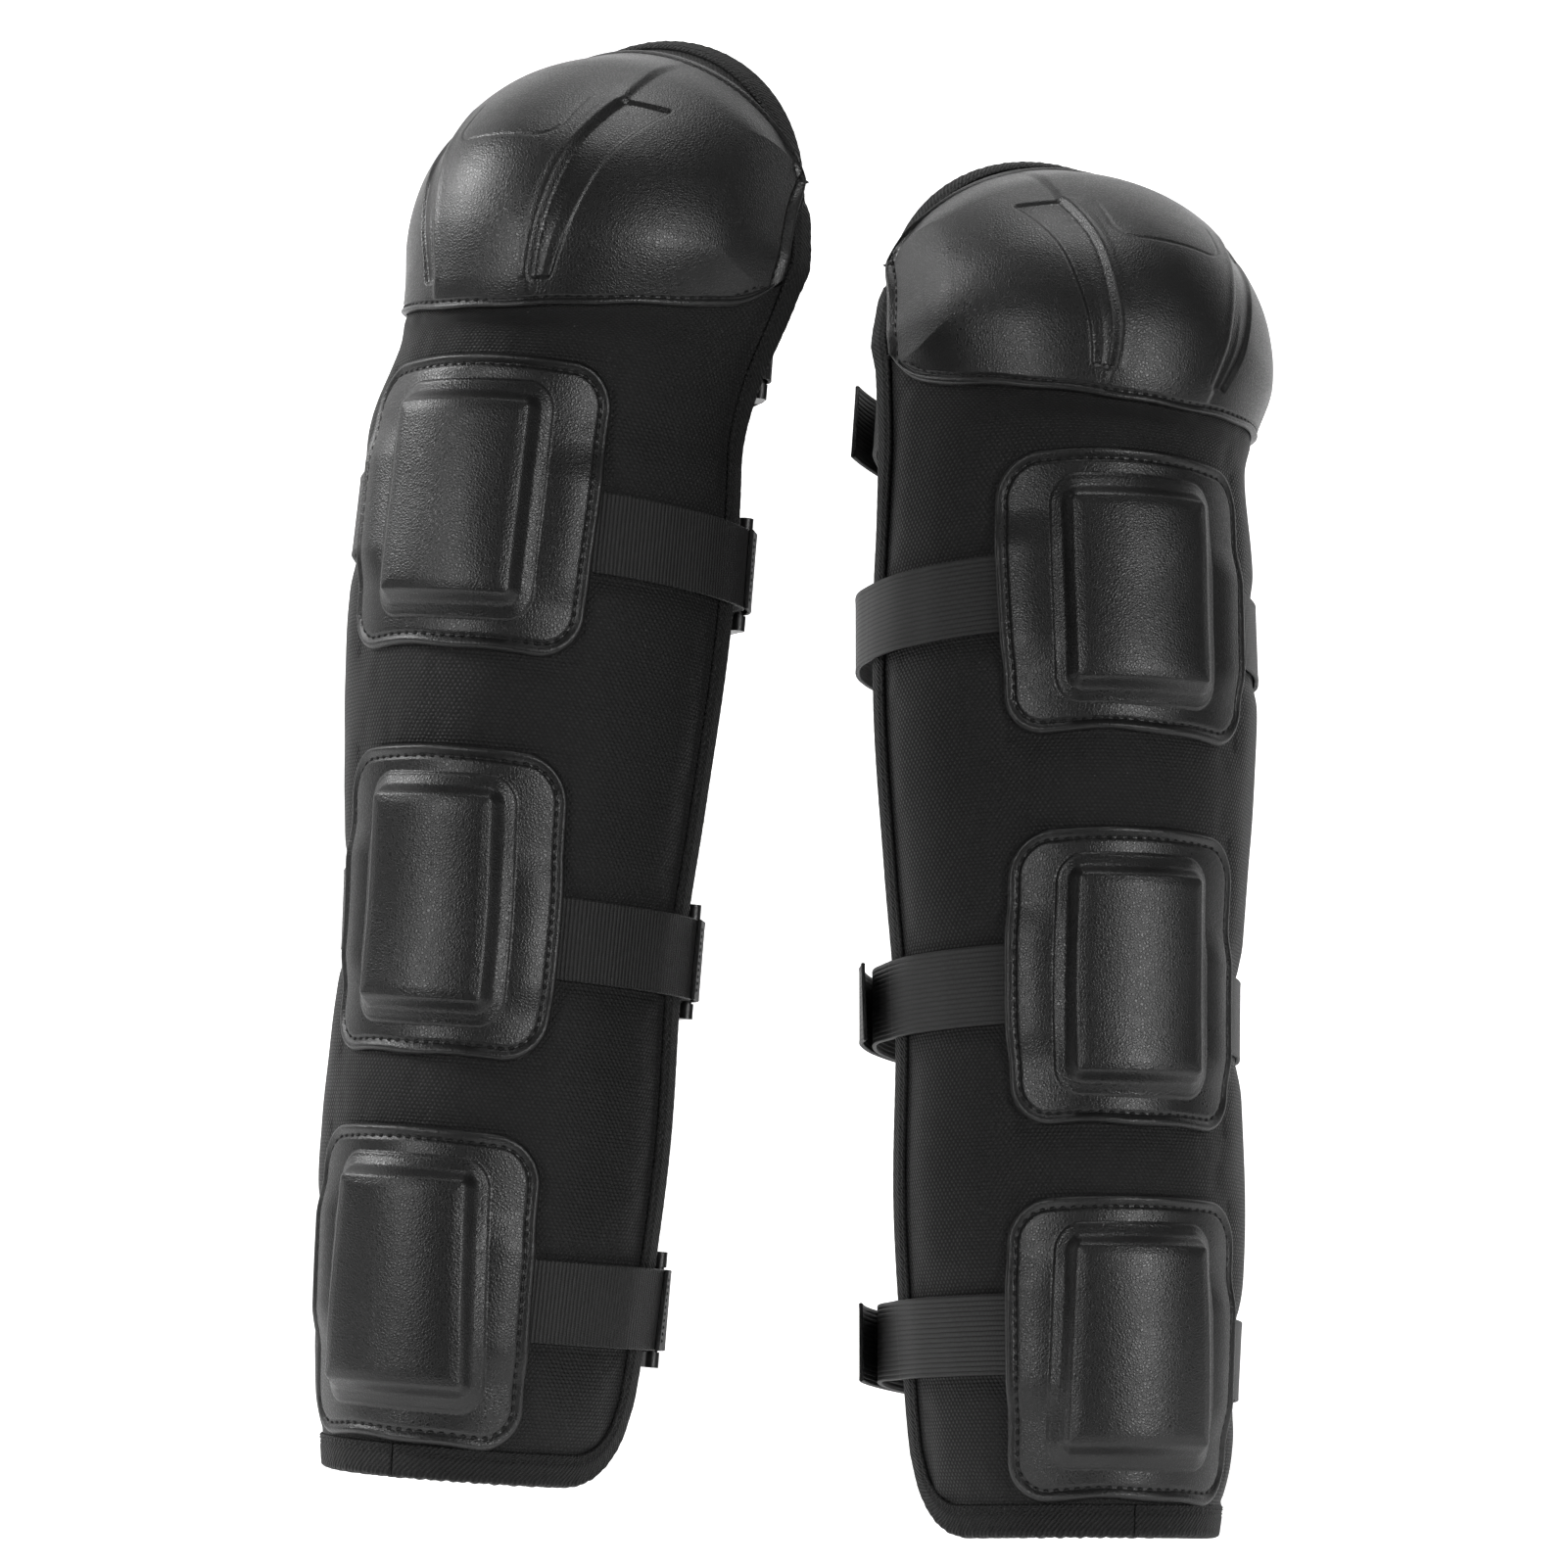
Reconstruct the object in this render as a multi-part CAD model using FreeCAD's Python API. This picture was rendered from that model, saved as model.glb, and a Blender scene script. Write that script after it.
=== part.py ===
import FreeCAD, Part
import math
import os
from collections import namedtuple

os.makedirs("parts", exist_ok=True)

# A pair of long knee and shin guards. Each guard is built in its own frame: z runs up the
# shin from the hem, the front of the leg faces -y, the open back faces +y. It is then bent
# a little at the knee, as soft goods are, and set in place. All sizes are in millimetres.

# ---- layers of the wrap, from the outside in ----
COVER_THICKNESS = 1.2
FOAM_THICKNESS = 6.5
LINING_THICKNESS = 1.0
SEAM_GAP = 0.15
LAYER_GAP = 0.25
FOAM_INSET = 3.5

# ---- form of the outer face of the wrap ----
# One row per level: height, half width at the back edges, front reach.
SHIN_LEVELS = [
    (0.0, 53.0, 56.0),
    (30.0, 58.0, 60.0),
    (67.0, 61.0, 63.0),
    (125.0, 64.0, 65.0),
    (195.0, 63.0, 63.0),
    (250.0, 67.0, 68.0),
    (310.0, 71.0, 73.0),
    (360.0, 71.0, 71.0),
    (410.0, 69.0, 69.0),
]
EDGE_BACK = 18.0
# One row per section of the knee dome, fanned from level to upright: the back edge's
# reach and height, the half width, and the reach and height of the section's front.
KNEE_SECTIONS = [
    (19.0, 437.0, 72.0, -74.0, 420.0),
    (20.0, 445.0, 74.0, -78.0, 440.0),
    (21.0, 450.0, 76.0, -77.5, 462.0),
    (22.0, 456.0, 76.0, -72.5, 479.0),
    (22.0, 461.0, 76.0, -62.0, 493.0),
    (22.0, 466.0, 75.0, -46.0, 506.0),
    (22.0, 470.0, 74.0, -27.0, 517.5),
    (21.0, 474.0, 72.0, -5.0, 528.5),
    (20.0, 477.0, 70.0, 17.0, 538.0),
]
HEM_CORNER_RADIUS = 30.0

# ---- twill tape bound round the whole edge ----
BINDING_WIDTH = 10.0
BINDING_THICKNESS = 1.1
BINDING_JOINT = 0.3

# ---- moulded knee cup and the foam pad inside it ----
CUP_THICKNESS = 2.2
CUP_BOTTOM_V = 435.0
CUP_TOP_MARGIN = 19.0
CUP_HALF_ANGLE = 84.0
CUP_CORNER_RADIUS = 26.0
CUP_CORNER_RISE = 17.0
CUP_GAP = 0.3
CUP_PAD_HEIGHT = 4.5
CUP_PAD_SLOPE = 28.0
CUP_PAD_MARGIN = 9.0
LAP_RUN = 4.0
WING_PITCH = 0.2
PANEL_RISE = 1.3
PANEL_FADE = 14.0
CHANNEL_DEPTH = 1.1
CHANNEL_ANGLE = 18.0
CHANNEL_SPREAD = 13.0
CHANNEL_ABOVE_BOTTOM = 11.0
CHANNEL_BELOW_TOP = 55.0
CHANNEL_FOOT_WIDTH = 9.0
CHANNEL_HEAD_WIDTH = 18.0
CHANNEL_WALL = 3.6
CHANNEL_RIM = 2.2
CHANNEL_END = 5.0

# ---- moulded shin plates and their inserts ----
PLATE_THICKNESS = 2.0
PLATE_CORNER_RADIUS = 17.0
PLATE_CROWN = 2.0
CORNER_SWEEP = 80.0
PAD_HEIGHT = 8.0
PAD_WALL = 8.0
PAD_CORNER_RADIUS = 11.0
PAD_CROWN = 1.2
INSERT_MARGIN = 3.5
INSERT_EDGE = 0.8
Plate = namedtuple("Plate", "name bottom top bottom_half top_half pad_bottom pad_top pad_half pad_lean")
PLATES = [
    Plate("upper", 293.0, 400.0, 55.0, 57.0, 303.0, 390.0, 35.0, 0.0),
    Plate("middle", 147.0, 258.0, 50.5, 52.5, 157.0, 248.0, 33.0, 0.0),
    Plate("lower", 9.0, 121.0, 52.0, 53.5, 20.0, 111.0, 34.0, 3.0),
]

# ---- straps and side-release buckles ----
STRAP_WIDTH = 30.0
WEBBING_THICKNESS = 1.5
ELASTIC_THICKNESS = 1.5
STRAP_RISE = 8.0
STRAP_UNDER_PLATE = 9.0
STRAP_LIFT = 0.6
ROOM_MARGIN = 6.0
ROOM_SLOPE = 5.0
EDGE_LIFT = 0.5
EDGE_RAMP = 26.0
EDGE_LEAD = 3.0
TURN_RADIUS = 16.0
BUCKLE_TILT = 50.0
TAIL_END_LIFT = 7.0
Strap = namedtuple("Strap", "name height tail plate")
STRAPS = [
    Strap("knee", 428.0, 78.0, None),
    Strap("upper", 341.0, 60.0, "upper"),
    Strap("middle", 194.0, 128.0, "middle"),
    Strap("ankle", 64.0, 112.0, "lower"),
]
KNEE_STRAP_INSET = 20.0
KNEE_STRAP_LIFT = 0.8

SOCKET_LENGTH = 34.0
SOCKET_BACK_WALL = 1.6
BUCKLE_WIDTH = 43.0
BUCKLE_THICKNESS = 9.6
BUCKLE_WALL = 1.8
BUCKLE_ROUND = 2.0
BUCKLE_RAIL_THICKNESS = 5.6
BAR_RADIUS = 2.0
BAR_APPROACH = (6.0, 3.6, 1.8, 0.0)
PLUG_BASE_LENGTH = 21.0
PLUG_BASE_THICKNESS = 7.0
PLUG_TIP_GAP = 2.0
PLUG_ARM_WIDTH = 4.2
PLUG_TONGUE_WIDTH = 7.0
SLIDE_CLEARANCE = 0.35
STRAP_SLOT = 5.4
BUCKLE_LEAD = 2.5
WEBBING_RETURN = 16.0

# ---- how the two guards stand ----
Guard = namedtuple("Guard", "name place yaw pitch roll sway twist lean nod spread")
GUARDS = [
    Guard("left", (-119.0, -38.0, 18.0), -22.0, 6.0, 4.6, 19.0, -12.0, 0.0, 0.0, 1.0),
    Guard("right", (112.0, 15.0, -13.0), 17.0, 9.0, 0.0, 0.0, 9.0, 6.0, 3.0, 1.04),
]
BEND_START = 378.0
BEND_END = 450.0
BEND_PIVOT = 425.0

# ---- dependent sizes ----
WRAP_THICKNESS = COVER_THICKNESS + FOAM_THICKNESS + LINING_THICKNESS + 2 * LAYER_GAP
SHIN_TOP = KNEE_SECTIONS[0][1]
EDGE_CLEAR = SEAM_GAP + BINDING_THICKNESS + EDGE_LIFT
SLOT_WIDTH = STRAP_WIDTH + 4 * SLIDE_CLEARANCE
LOOP_RADIUS = BAR_RADIUS + SLIDE_CLEARANCE + max(WEBBING_THICKNESS, ELASTIC_THICKNESS) / 2
LAYER_PITCH = max(WEBBING_THICKNESS, ELASTIC_THICKNESS) + SLIDE_CLEARANCE
SOCKET_MOUTH = SOCKET_LENGTH - BAR_RADIUS
SOCKET_BODY_START = BAR_RADIUS + STRAP_SLOT
SOCKET_CAVITY_START = SOCKET_BODY_START + SOCKET_BACK_WALL
PLUG_ARM_LENGTH = SOCKET_MOUTH + SLIDE_CLEARANCE - SOCKET_CAVITY_START - PLUG_TIP_GAP
HEM_CUT_ROOM = 2.0 * WRAP_THICKNESS
FULL_ANGLE = 90.0
SIDE_STATIONS = 9
SPANS_PER_FACE = 8


def vec(x, y, z):
    """Return a FreeCAD vector."""
    return FreeCAD.Vector(x, y, z)


def smooth(t):
    """Return an eased step of t from 0 to 1."""
    t = min(max(t, 0.0), 1.0)
    return t * t * (3.0 - 2.0 * t)


# ---------------------------------------------------------------- the wrap's outer face
def all_sections():
    """Return every section as (v, edge y, edge z, half width, front y, front z)."""
    rows = [(h, EDGE_BACK, h, w, -f, h) for h, w, f in SHIN_LEVELS]
    v = SHIN_TOP
    for i, row in enumerate(KNEE_SECTIONS):
        if i:
            last = KNEE_SECTIONS[i - 1]
            v += math.hypot(row[3] - last[3], row[4] - last[4])
        rows.append((v,) + row)
    return rows


SECTIONS = all_sections()
V_RIM = SECTIONS[-1][0]
CUP_TOP_V = V_RIM - CUP_TOP_MARGIN


def section_at(v):
    """Return (edge y, edge z, half width, front y, front z) at girth position v."""
    last = len(SECTIONS) - 1
    i = 0
    while i < last - 1 and v > SECTIONS[i + 1][0]:
        i += 1
    a, b = SECTIONS[i], SECTIONS[i + 1]
    before = SECTIONS[max(i - 1, 0)]
    after = SECTIONS[min(i + 2, last)]
    h = b[0] - a[0]
    t = (v - a[0]) / h
    result = []
    for k in range(1, 6):
        slope_a = (b[k] - before[k]) / (b[0] - before[0])
        slope_b = (after[k] - a[k]) / (after[0] - a[0])
        value = (2 * t**3 - 3 * t**2 + 1) * a[k] + (t**3 - 2 * t**2 + t) * h * slope_a
        value += (3 * t**2 - 2 * t**3) * b[k] + (t**3 - t**2) * h * slope_b
        result.append(value)
    return result


def face_point(theta, v, out=0.0):
    """Return the point at angle theta (degrees from the front) and girth v, out mm proud."""
    edge_y, edge_z, half_width, front_y, front_z = section_at(v)
    reach = math.hypot(front_y - edge_y, front_z - edge_z)
    fy = (front_y - edge_y) / reach
    fz = (front_z - edge_z) / reach
    s = math.sin(math.radians(theta))
    c = math.cos(math.radians(theta))
    across = (half_width + out) * s
    forward = (reach + out) * c
    return vec(across, edge_y + fy * forward, edge_z + fz * forward)


def width_at(v):
    """Return the mean radius used to turn a width in mm into an angle at girth v."""
    row = section_at(v)
    return 0.5 * (row[2] + math.hypot(row[3] - row[0], row[4] - row[1]))


def angle_of(width, v):
    """Return the angle in degrees that a width in mm, measured round the wrap, spans."""
    return math.degrees(width / width_at(v))


# ---------------------------------------------------------------- bending and placing
def turned(point, axis, degrees):
    """Return a point turned about an axis through the frame's origin."""
    return FreeCAD.Rotation(axis, degrees).multVec(point)


def bend_share(height):
    """Return how much of the knee's soft bend acts at a height."""
    return smooth((height - BEND_START) / (BEND_END - BEND_START))


def bend_turned(guard, direction, share):
    """Return a direction turned by a share of the guard's knee bend."""
    moved = turned(direction, vec(1, 0, 0), -guard.nod * share)
    moved = turned(moved, vec(0, 0, 1), guard.twist * share)
    return turned(moved, vec(0, 1, 0), guard.lean * share)


def bent(guard, point):
    """Return a point after the soft bend of the guard's knee."""
    share = bend_share(point.z)
    pivot = vec(0, 0, BEND_PIVOT)
    return bend_turned(guard, point - pivot, share) + pivot + vec(guard.sway * share, 0, 0)


def spread_out(guard, point):
    """Return a point of the wrap after the guard is opened out to its own width."""
    return vec(point.x * guard.spread, point.y, point.z)


def guard_point(guard, theta, v, out):
    """Return the guard's point at angle theta and girth v, out mm proud."""
    return bent(guard, spread_out(guard, face_point(theta, v, out)))


def placement(guard):
    """Return the guard's place in the frame of the pair."""
    turn = FreeCAD.Rotation(vec(0, 0, 1), guard.yaw)
    turn = FreeCAD.Rotation(vec(1, 0, 0), -guard.pitch) * turn
    turn = FreeCAD.Rotation(vec(0, 1, 0), guard.roll) * turn
    return FreeCAD.Placement(vec(*guard.place), turn)


# ---------------------------------------------------------------- spline patches
def greville(count):
    """Return (position, curvature weight) of each pole of a clamped cubic with unit spans."""
    spans = count - 3
    knots = [0.0] * 3 + [float(k) for k in range(spans + 1)] + [float(spans)] * 3
    result = []
    for i in range(count):
        a, b, c = knots[i + 1], knots[i + 2], knots[i + 3]
        weight = ((a - b) ** 2 + (b - c) ** 2 + (a - c) ** 2) / 36.0
        result.append(((a + b + c) / 3.0, weight))
    return result


def clamped(count):
    """Return the multiplicities and knots of a clamped cubic with count poles."""
    spans = count - 3
    return [4] + [1] * (spans - 1) + [4], [float(k) for k in range(spans + 1)]


def patch_poles(base, low, high, counts, out):
    """Return the poles of a cubic patch that follows base(u, v), out(u, v) mm proud of it."""
    step_u = (high[0] - low[0]) / (counts[0] - 3)
    step_v = (high[1] - low[1]) / (counts[1] - 3)
    small_u, small_v = step_u / 3.0, step_v / 3.0
    poles = []
    for gu, weight_u in greville(counts[0]):
        row = []
        for gv, weight_v in greville(counts[1]):
            u = low[0] + gu * step_u
            v = low[1] + gv * step_v
            centre = base(u, v, 0.0)
            pole = centre + (base(u, v, 1.0) - centre) * out(u, v)
            if weight_u:
                curve = base(u + small_u, v, 0.0) + base(u - small_u, v, 0.0) - centre * 2.0
                pole -= curve * (9.0 * weight_u)
            if weight_v:
                curve = base(u, v + small_v, 0.0) + base(u, v - small_v, 0.0) - centre * 2.0
                pole -= curve * (9.0 * weight_v)
            row.append(pole)
        poles.append(row)
    return poles


def cubic_face(poles):
    """Return the face of a bicubic patch."""
    surface = Part.BSplineSurface()
    mults_u, knots_u = clamped(len(poles))
    mults_v, knots_v = clamped(len(poles[0]))
    surface.buildFromPolesMultsKnots(
        poles, mults_u, mults_v, knots_u, knots_v, False, False, 3, 3
    )
    return surface.toShape()


def side_face(first, second):
    """Return the ruled face between two rows of poles of cubic edges."""
    surface = Part.BSplineSurface()
    mults, knots = clamped(len(first))
    surface.buildFromPolesMultsKnots(
        [first, second], [2, 2], mults, [0.0, 1.0], knots, False, False, 1, 3
    )
    return surface.toShape()


def closed_solid(faces):
    """Return one outward-facing solid from faces that close."""
    sewn = Part.makeCompound(faces)
    sewn.sewShape()
    solid = Part.makeSolid(sewn.Shells[0])
    if solid.Volume < 0:
        solid.reverse()
    return solid


def slab(base, low, high, counts, inner, outer):
    """Return the solid between two offset patches of base."""
    bottom = patch_poles(base, low, high, counts, inner)
    top = patch_poles(base, low, high, counts, outer)
    faces = [cubic_face(bottom), cubic_face(top)]
    faces.append(side_face(bottom[0], top[0]))
    faces.append(side_face(bottom[-1], top[-1]))
    faces.append(side_face([r[0] for r in bottom], [r[0] for r in top]))
    faces.append(side_face([r[-1] for r in bottom], [r[-1] for r in top]))
    return closed_solid(faces)


def ribbon(stations, profile):
    """Return a solid swept through stations of (origin, across, normal)."""
    return swept([[o + a * across + n * out for across, out in profile] for o, a, n in stations])


def swept(rings):
    """Return a solid swept through rings, each the corners of one cross-section."""
    count = len(rings[0])
    centres = [sum(ring, vec(0, 0, 0)) / count for ring in rings]
    marks = [0.0]
    for before, after in zip(centres, centres[1:]):
        marks.append(marks[-1] + (after - before).Length)
    joints = marks[:-SPANS_PER_FACE:SPANS_PER_FACE] + [marks[-1]]
    rails = []
    for k in range(count):
        curve = Part.BSplineCurve()
        curve.interpolate(Points=[ring[k] for ring in rings], Parameters=marks)
        rails.append(curve)
    faces = []
    for low, high in zip(joints, joints[1:]):
        parts = []
        for rail in rails:
            part = rail.copy()
            part.segment(low, high)
            parts.append(part)
        for k, part in enumerate(parts):
            beside = parts[(k + 1) % count]
            surface = Part.BSplineSurface()
            surface.buildFromPolesMultsKnots(
                [part.getPoles(), beside.getPoles()],
                [2, 2],
                part.getMultiplicities(),
                [0.0, 1.0],
                part.getKnots(),
                False,
                False,
                1,
                3,
            )
            faces.append(surface.toShape())
    for ring in (rings[0], rings[-1]):
        faces.append(Part.Face(Part.makePolygon(ring + ring[:1])))
    return closed_solid(faces)


# ---------------------------------------------------------------- shaping functions
def flat(value):
    """Return a function of (u, v) that is the same everywhere."""
    return lambda u, v: value


def wrap_base(guard):
    """Return the guard's outer face as a function of angle, girth and offset."""
    return lambda theta, v, out: guard_point(guard, theta, v, out)


# ---------------------------------------------------------------- the wrap
def hem_corner_cutter(inset):
    """Return the solid that rounds a layer's back corners, inset mm inside the wrap's own."""
    reach = 200.0
    radius = HEM_CORNER_RADIUS - inset
    size = radius + HEM_CUT_ROOM
    centre_y, centre_z = EDGE_BACK - HEM_CORNER_RADIUS, HEM_CORNER_RADIUS
    block = Part.makeBox(2 * reach, size, size, vec(-reach, centre_y, centre_z - size))
    drum = Part.makeCylinder(radius, 2 * reach, vec(-reach, centre_y, centre_z), vec(1, 0, 0))
    return block.cut(drum)


def wrap_layer(guard, inner, outer, inset=0.0):
    """Return one layer of the wrap between two offsets, cut inset mm short all round."""
    side = FULL_ANGLE - angle_of(inset, V_RIM)
    low, high = (-side, inset), (side, V_RIM - inset)
    solid = slab(wrap_base(guard), low, high, (27, 54), flat(inner), flat(outer))
    return solid.cut(hem_corner_cutter(inset))


def hem_angle(y, z):
    """Return the angle at which the wrap's outer face has back reach y at height z."""
    edge_y, _, _, front_y, _ = section_at(z)
    return math.degrees(math.acos((edge_y - y) / (edge_y - front_y)))


def edge_route():
    """Return half the edge as (theta, v) pairs: hem from the front, right edge, rim."""
    radius = HEM_CORNER_RADIUS
    turn = [math.radians(a) for a in (15, 30, 45, 60, 75)]
    start = hem_angle(EDGE_BACK - radius, 0.0)
    route = [(BINDING_JOINT, 0.0)] + [(start * k / 6.0, 0.0) for k in range(1, 7)]
    corner = []
    for a in turn:
        y = EDGE_BACK - radius + radius * math.sin(a)
        z = radius - radius * math.cos(a)
        corner.append((hem_angle(y, z), z))
    route += corner
    rises = [radius + (V_RIM - 9 - radius) * k / 36.0 for k in range(37)]
    route += [(FULL_ANGLE, v) for v in rises]
    route += [(FULL_ANGLE - 6.0 * k, V_RIM) for k in range(1, 15)]
    return route


def nearest(base, target, theta, v):
    """Return the (theta, v) of the outer face's point nearest to a target, from a guess."""
    step = 0.1
    for _ in range(12):
        here = base(theta, v, 0.0)
        gap = target - here
        side_way = (base(theta + step, v, 0.0) - here) / step
        girth_way = (base(theta, v + step, 0.0) - here) / step
        aa, bb, ab = side_way.dot(side_way), girth_way.dot(girth_way), side_way.dot(girth_way)
        pa, pb = gap.dot(side_way), gap.dot(girth_way)
        spread = aa * bb * 1.0001 - ab * ab
        theta += min(max((pa * bb - pb * ab) / spread, -4.0), 4.0)
        v += min(max((pb * aa - pa * ab) / spread, -12.0), 12.0)
        theta = min(max(theta, -FULL_ANGLE), FULL_ANGLE)
        v = min(max(v, 0.0), V_RIM)
    return theta, v


def edge_binding(guard):
    """Return the tape that is folded over the whole edge of the wrap."""
    base = wrap_base(guard)
    right = edge_route()
    route = right + [(0.0, V_RIM)] + [(-theta, v) for theta, v in reversed(right)]
    points = [base(theta, v, 0.0) for theta, v in route]
    t, gap = BINDING_THICKNESS, SEAM_GAP
    outer, inner = gap, -WRAP_THICKNESS - gap
    shares = (0.25, 0.5, 0.75, 1.0)
    rings = []
    for i, (theta, v) in enumerate(route):
        here = points[i]
        normal = (base(theta, v, 1.0) - here).normalize()
        along = points[min(i + 1, len(points) - 1)] - points[max(i - 1, 0)]
        inward = normal.cross(along).normalize()
        places = []
        guess = (theta * 0.95, v + (0.5 * V_RIM - v) * 0.03)
        for share in shares:
            guess = nearest(base, here + inward * (BINDING_WIDTH * share), *guess)
            places.append(guess)
        flange = list(reversed(places))
        ring = [base(a, b, outer) for a, b in flange]
        ring += [base(theta, v, out) - inward * gap for out in (outer, inner)]
        ring += [base(a, b, inner) for a, b in places]
        ring += [base(a, b, inner - t) for a, b in flange]
        ring.append(base(theta, v, inner - t) - inward * gap)
        ring += [base(theta, v, out) - inward * (gap + t) for out in (inner, outer)]
        ring.append(base(theta, v, outer + t) - inward * gap)
        ring += [base(a, b, outer + t) for a, b in places]
        rings.append(ring)
    for end in (0, -1):
        x = rings[end][0].x
        rings[end] = [vec(x, p.y, p.z) for p in rings[end]]
    return swept(rings)


# ---------------------------------------------------------------- the knee cup
def cup_bottom(theta):
    """Return the girth position of the cup's lower edge, which lifts at the wing corners."""
    past = math.radians(abs(theta) - CUP_HALF_ANGLE) * width_at(CUP_BOTTOM_V)
    share = max(1.0 + past / CUP_CORNER_RADIUS, 0.0)
    return CUP_BOTTOM_V + CUP_CORNER_RISE * share**3


def cup_base(guard):
    """Return the face under the cup as a function of angle, share of its height and offset."""

    def base(theta, share, out):
        low = cup_bottom(theta)
        v = low + (CUP_TOP_V - low) * share
        return guard_point(guard, theta, v, out)

    return base


def cup_relief(theta, v):
    """Return the raised centre panel's height, less the channel pressed on each side of it."""
    bottom = CUP_BOTTOM_V + CHANNEL_ABOVE_BOTTOM
    top = CUP_TOP_V - CHANNEL_BELOW_TOP
    share = min(max((v - bottom) / (top - bottom), 0.0), 1.0)
    centre = CHANNEL_ANGLE + CHANNEL_SPREAD * share**1.1
    width = CHANNEL_FOOT_WIDTH + (CHANNEL_HEAD_WIDTH - CHANNEL_FOOT_WIDTH) * share**0.55
    across = math.radians(abs(theta) - centre) * width_at(v)
    beyond_panel = smooth((across + width / 2) / CHANNEL_WALL)
    within_rim = smooth((width / 2 - across) / CHANNEL_RIM)
    ends = smooth((v - bottom) / CHANNEL_END) * smooth((top - v) / CHANNEL_END)
    fade = smooth((v - CUP_BOTTOM_V) / PANEL_FADE) * smooth((CUP_TOP_V - v) / (2 * PANEL_FADE))
    return PANEL_RISE * (1.0 - beyond_panel) * fade - CHANNEL_DEPTH * beyond_panel * within_rim * ends


def cup_pad_height(theta, v, margin=0.0):
    """Return the thickness of the pad under the cup, margin mm in from the cup's outline."""
    side = math.radians(CUP_HALF_ANGLE - abs(theta)) * width_at(v)
    depth = min(side, v - cup_bottom(theta), CUP_TOP_V - v) - margin
    return CUP_PAD_HEIGHT * smooth(depth / CUP_PAD_SLOPE)


def binding_lap(theta, v):
    """Return how far the cup's edge rises where it laps over the binding tape."""
    to_side = math.radians(FULL_ANGLE - abs(theta)) * width_at(v)
    to_rim = (V_RIM - v) * (WING_PITCH + (1.0 - WING_PITCH) * math.cos(math.radians(theta)))
    over = BINDING_WIDTH + LAP_RUN - min(to_side, to_rim)
    return (BINDING_THICKNESS + SEAM_GAP) * smooth(over / LAP_RUN + 0.3)


def cup_offset(extra, pressed):
    """Return the offset of a face of the cup as a function of angle and share of height."""

    def out(theta, share):
        low = cup_bottom(theta)
        v = low + (CUP_TOP_V - low) * share
        proud = CUP_GAP + extra + cup_pad_height(theta, v) + binding_lap(theta, v)
        return proud + (cup_relief(theta, v) if pressed else 0.0)

    return out


def knee_cup(guard):
    """Return the moulded cup, its centre panel raised between two channels."""
    low, high = (-CUP_HALF_ANGLE, 0.0), (CUP_HALF_ANGLE, 1.0)
    inner, outer = cup_offset(0.0, False), cup_offset(CUP_THICKNESS, True)
    return slab(cup_base(guard), low, high, (63, 36), inner, outer)


def knee_pad(guard):
    """Return the foam pad that fills the space inside the cup."""
    margin = CUP_PAD_MARGIN
    edge_angle = CUP_HALF_ANGLE - angle_of(margin + CUP_CORNER_RADIUS, CUP_BOTTOM_V)
    low, high = (-edge_angle, CUP_BOTTOM_V + margin), (edge_angle, CUP_TOP_V - margin)

    def top(theta, v):
        return CUP_GAP - SEAM_GAP + cup_pad_height(theta, v)

    return slab(wrap_base(guard), low, high, (31, 24), flat(SEAM_GAP), top)


# ---------------------------------------------------------------- the shin plates
def plate_point(plate, u, w):
    """Return (width round the wrap, girth) of a plate's point; u and w run from -1 to 1."""
    half = 0.5 * (plate.bottom_half + plate.top_half)
    half_height = 0.5 * (plate.top - plate.bottom)
    radius = PLATE_CORNER_RADIUS
    straight = (half - radius) / (half - radius + radius * math.pi / 2)
    if abs(u) <= straight:
        x = abs(u) / straight * (half - radius)
        rise = half_height
    else:
        turn = math.radians(CORNER_SWEEP) * (abs(u) - straight) / (1.0 - straight)
        x = half - radius + radius * math.sin(turn)
        rise = half_height - radius * (1.0 - math.cos(turn))
    v = 0.5 * (plate.top + plate.bottom) + w * rise
    share = (v - plate.bottom) / (plate.top - plate.bottom)
    x *= (plate.bottom_half + (plate.top_half - plate.bottom_half) * share) / half
    v += PLATE_CROWN * (1.0 - (x / half) ** 2)
    return math.copysign(x, u), v


def plate_base(guard, plate):
    """Return the face under a plate as a function of the plate's own u, w and offset."""

    def base(u, w, out):
        x, v = plate_point(plate, u, w)
        return guard_point(guard, angle_of(x, v), v, out)

    return base


def pad_rise(plate, x, v, margin=0.0):
    """Return the height of a plate's raised pad at a point, measured margin mm inside it."""
    centre_v = 0.5 * (plate.pad_bottom + plate.pad_top)
    half_v = 0.5 * (plate.pad_top - plate.pad_bottom)
    dv = v - PLATE_CROWN - centre_v
    lean = plate.pad_lean * (half_v - dv) / (2 * half_v)
    qx = abs(x) - plate.pad_half - lean + PAD_CORNER_RADIUS
    qz = abs(dv) - half_v + PAD_CORNER_RADIUS
    outside = math.hypot(max(qx, 0.0), max(qz, 0.0)) + min(max(qx, qz), 0.0)
    depth = PAD_CORNER_RADIUS - outside - margin
    crown = PAD_CROWN * (1.0 - (x / plate.pad_half) ** 2) * smooth(depth / (2 * PAD_WALL))
    return PAD_HEIGHT * smooth(depth / PAD_WALL) + crown


def strap_height(strap, side):
    """Return the height of a strap's middle line at one side of the wrap."""
    return strap.height + (STRAP_RISE if side < 0 else 0.0)


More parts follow.
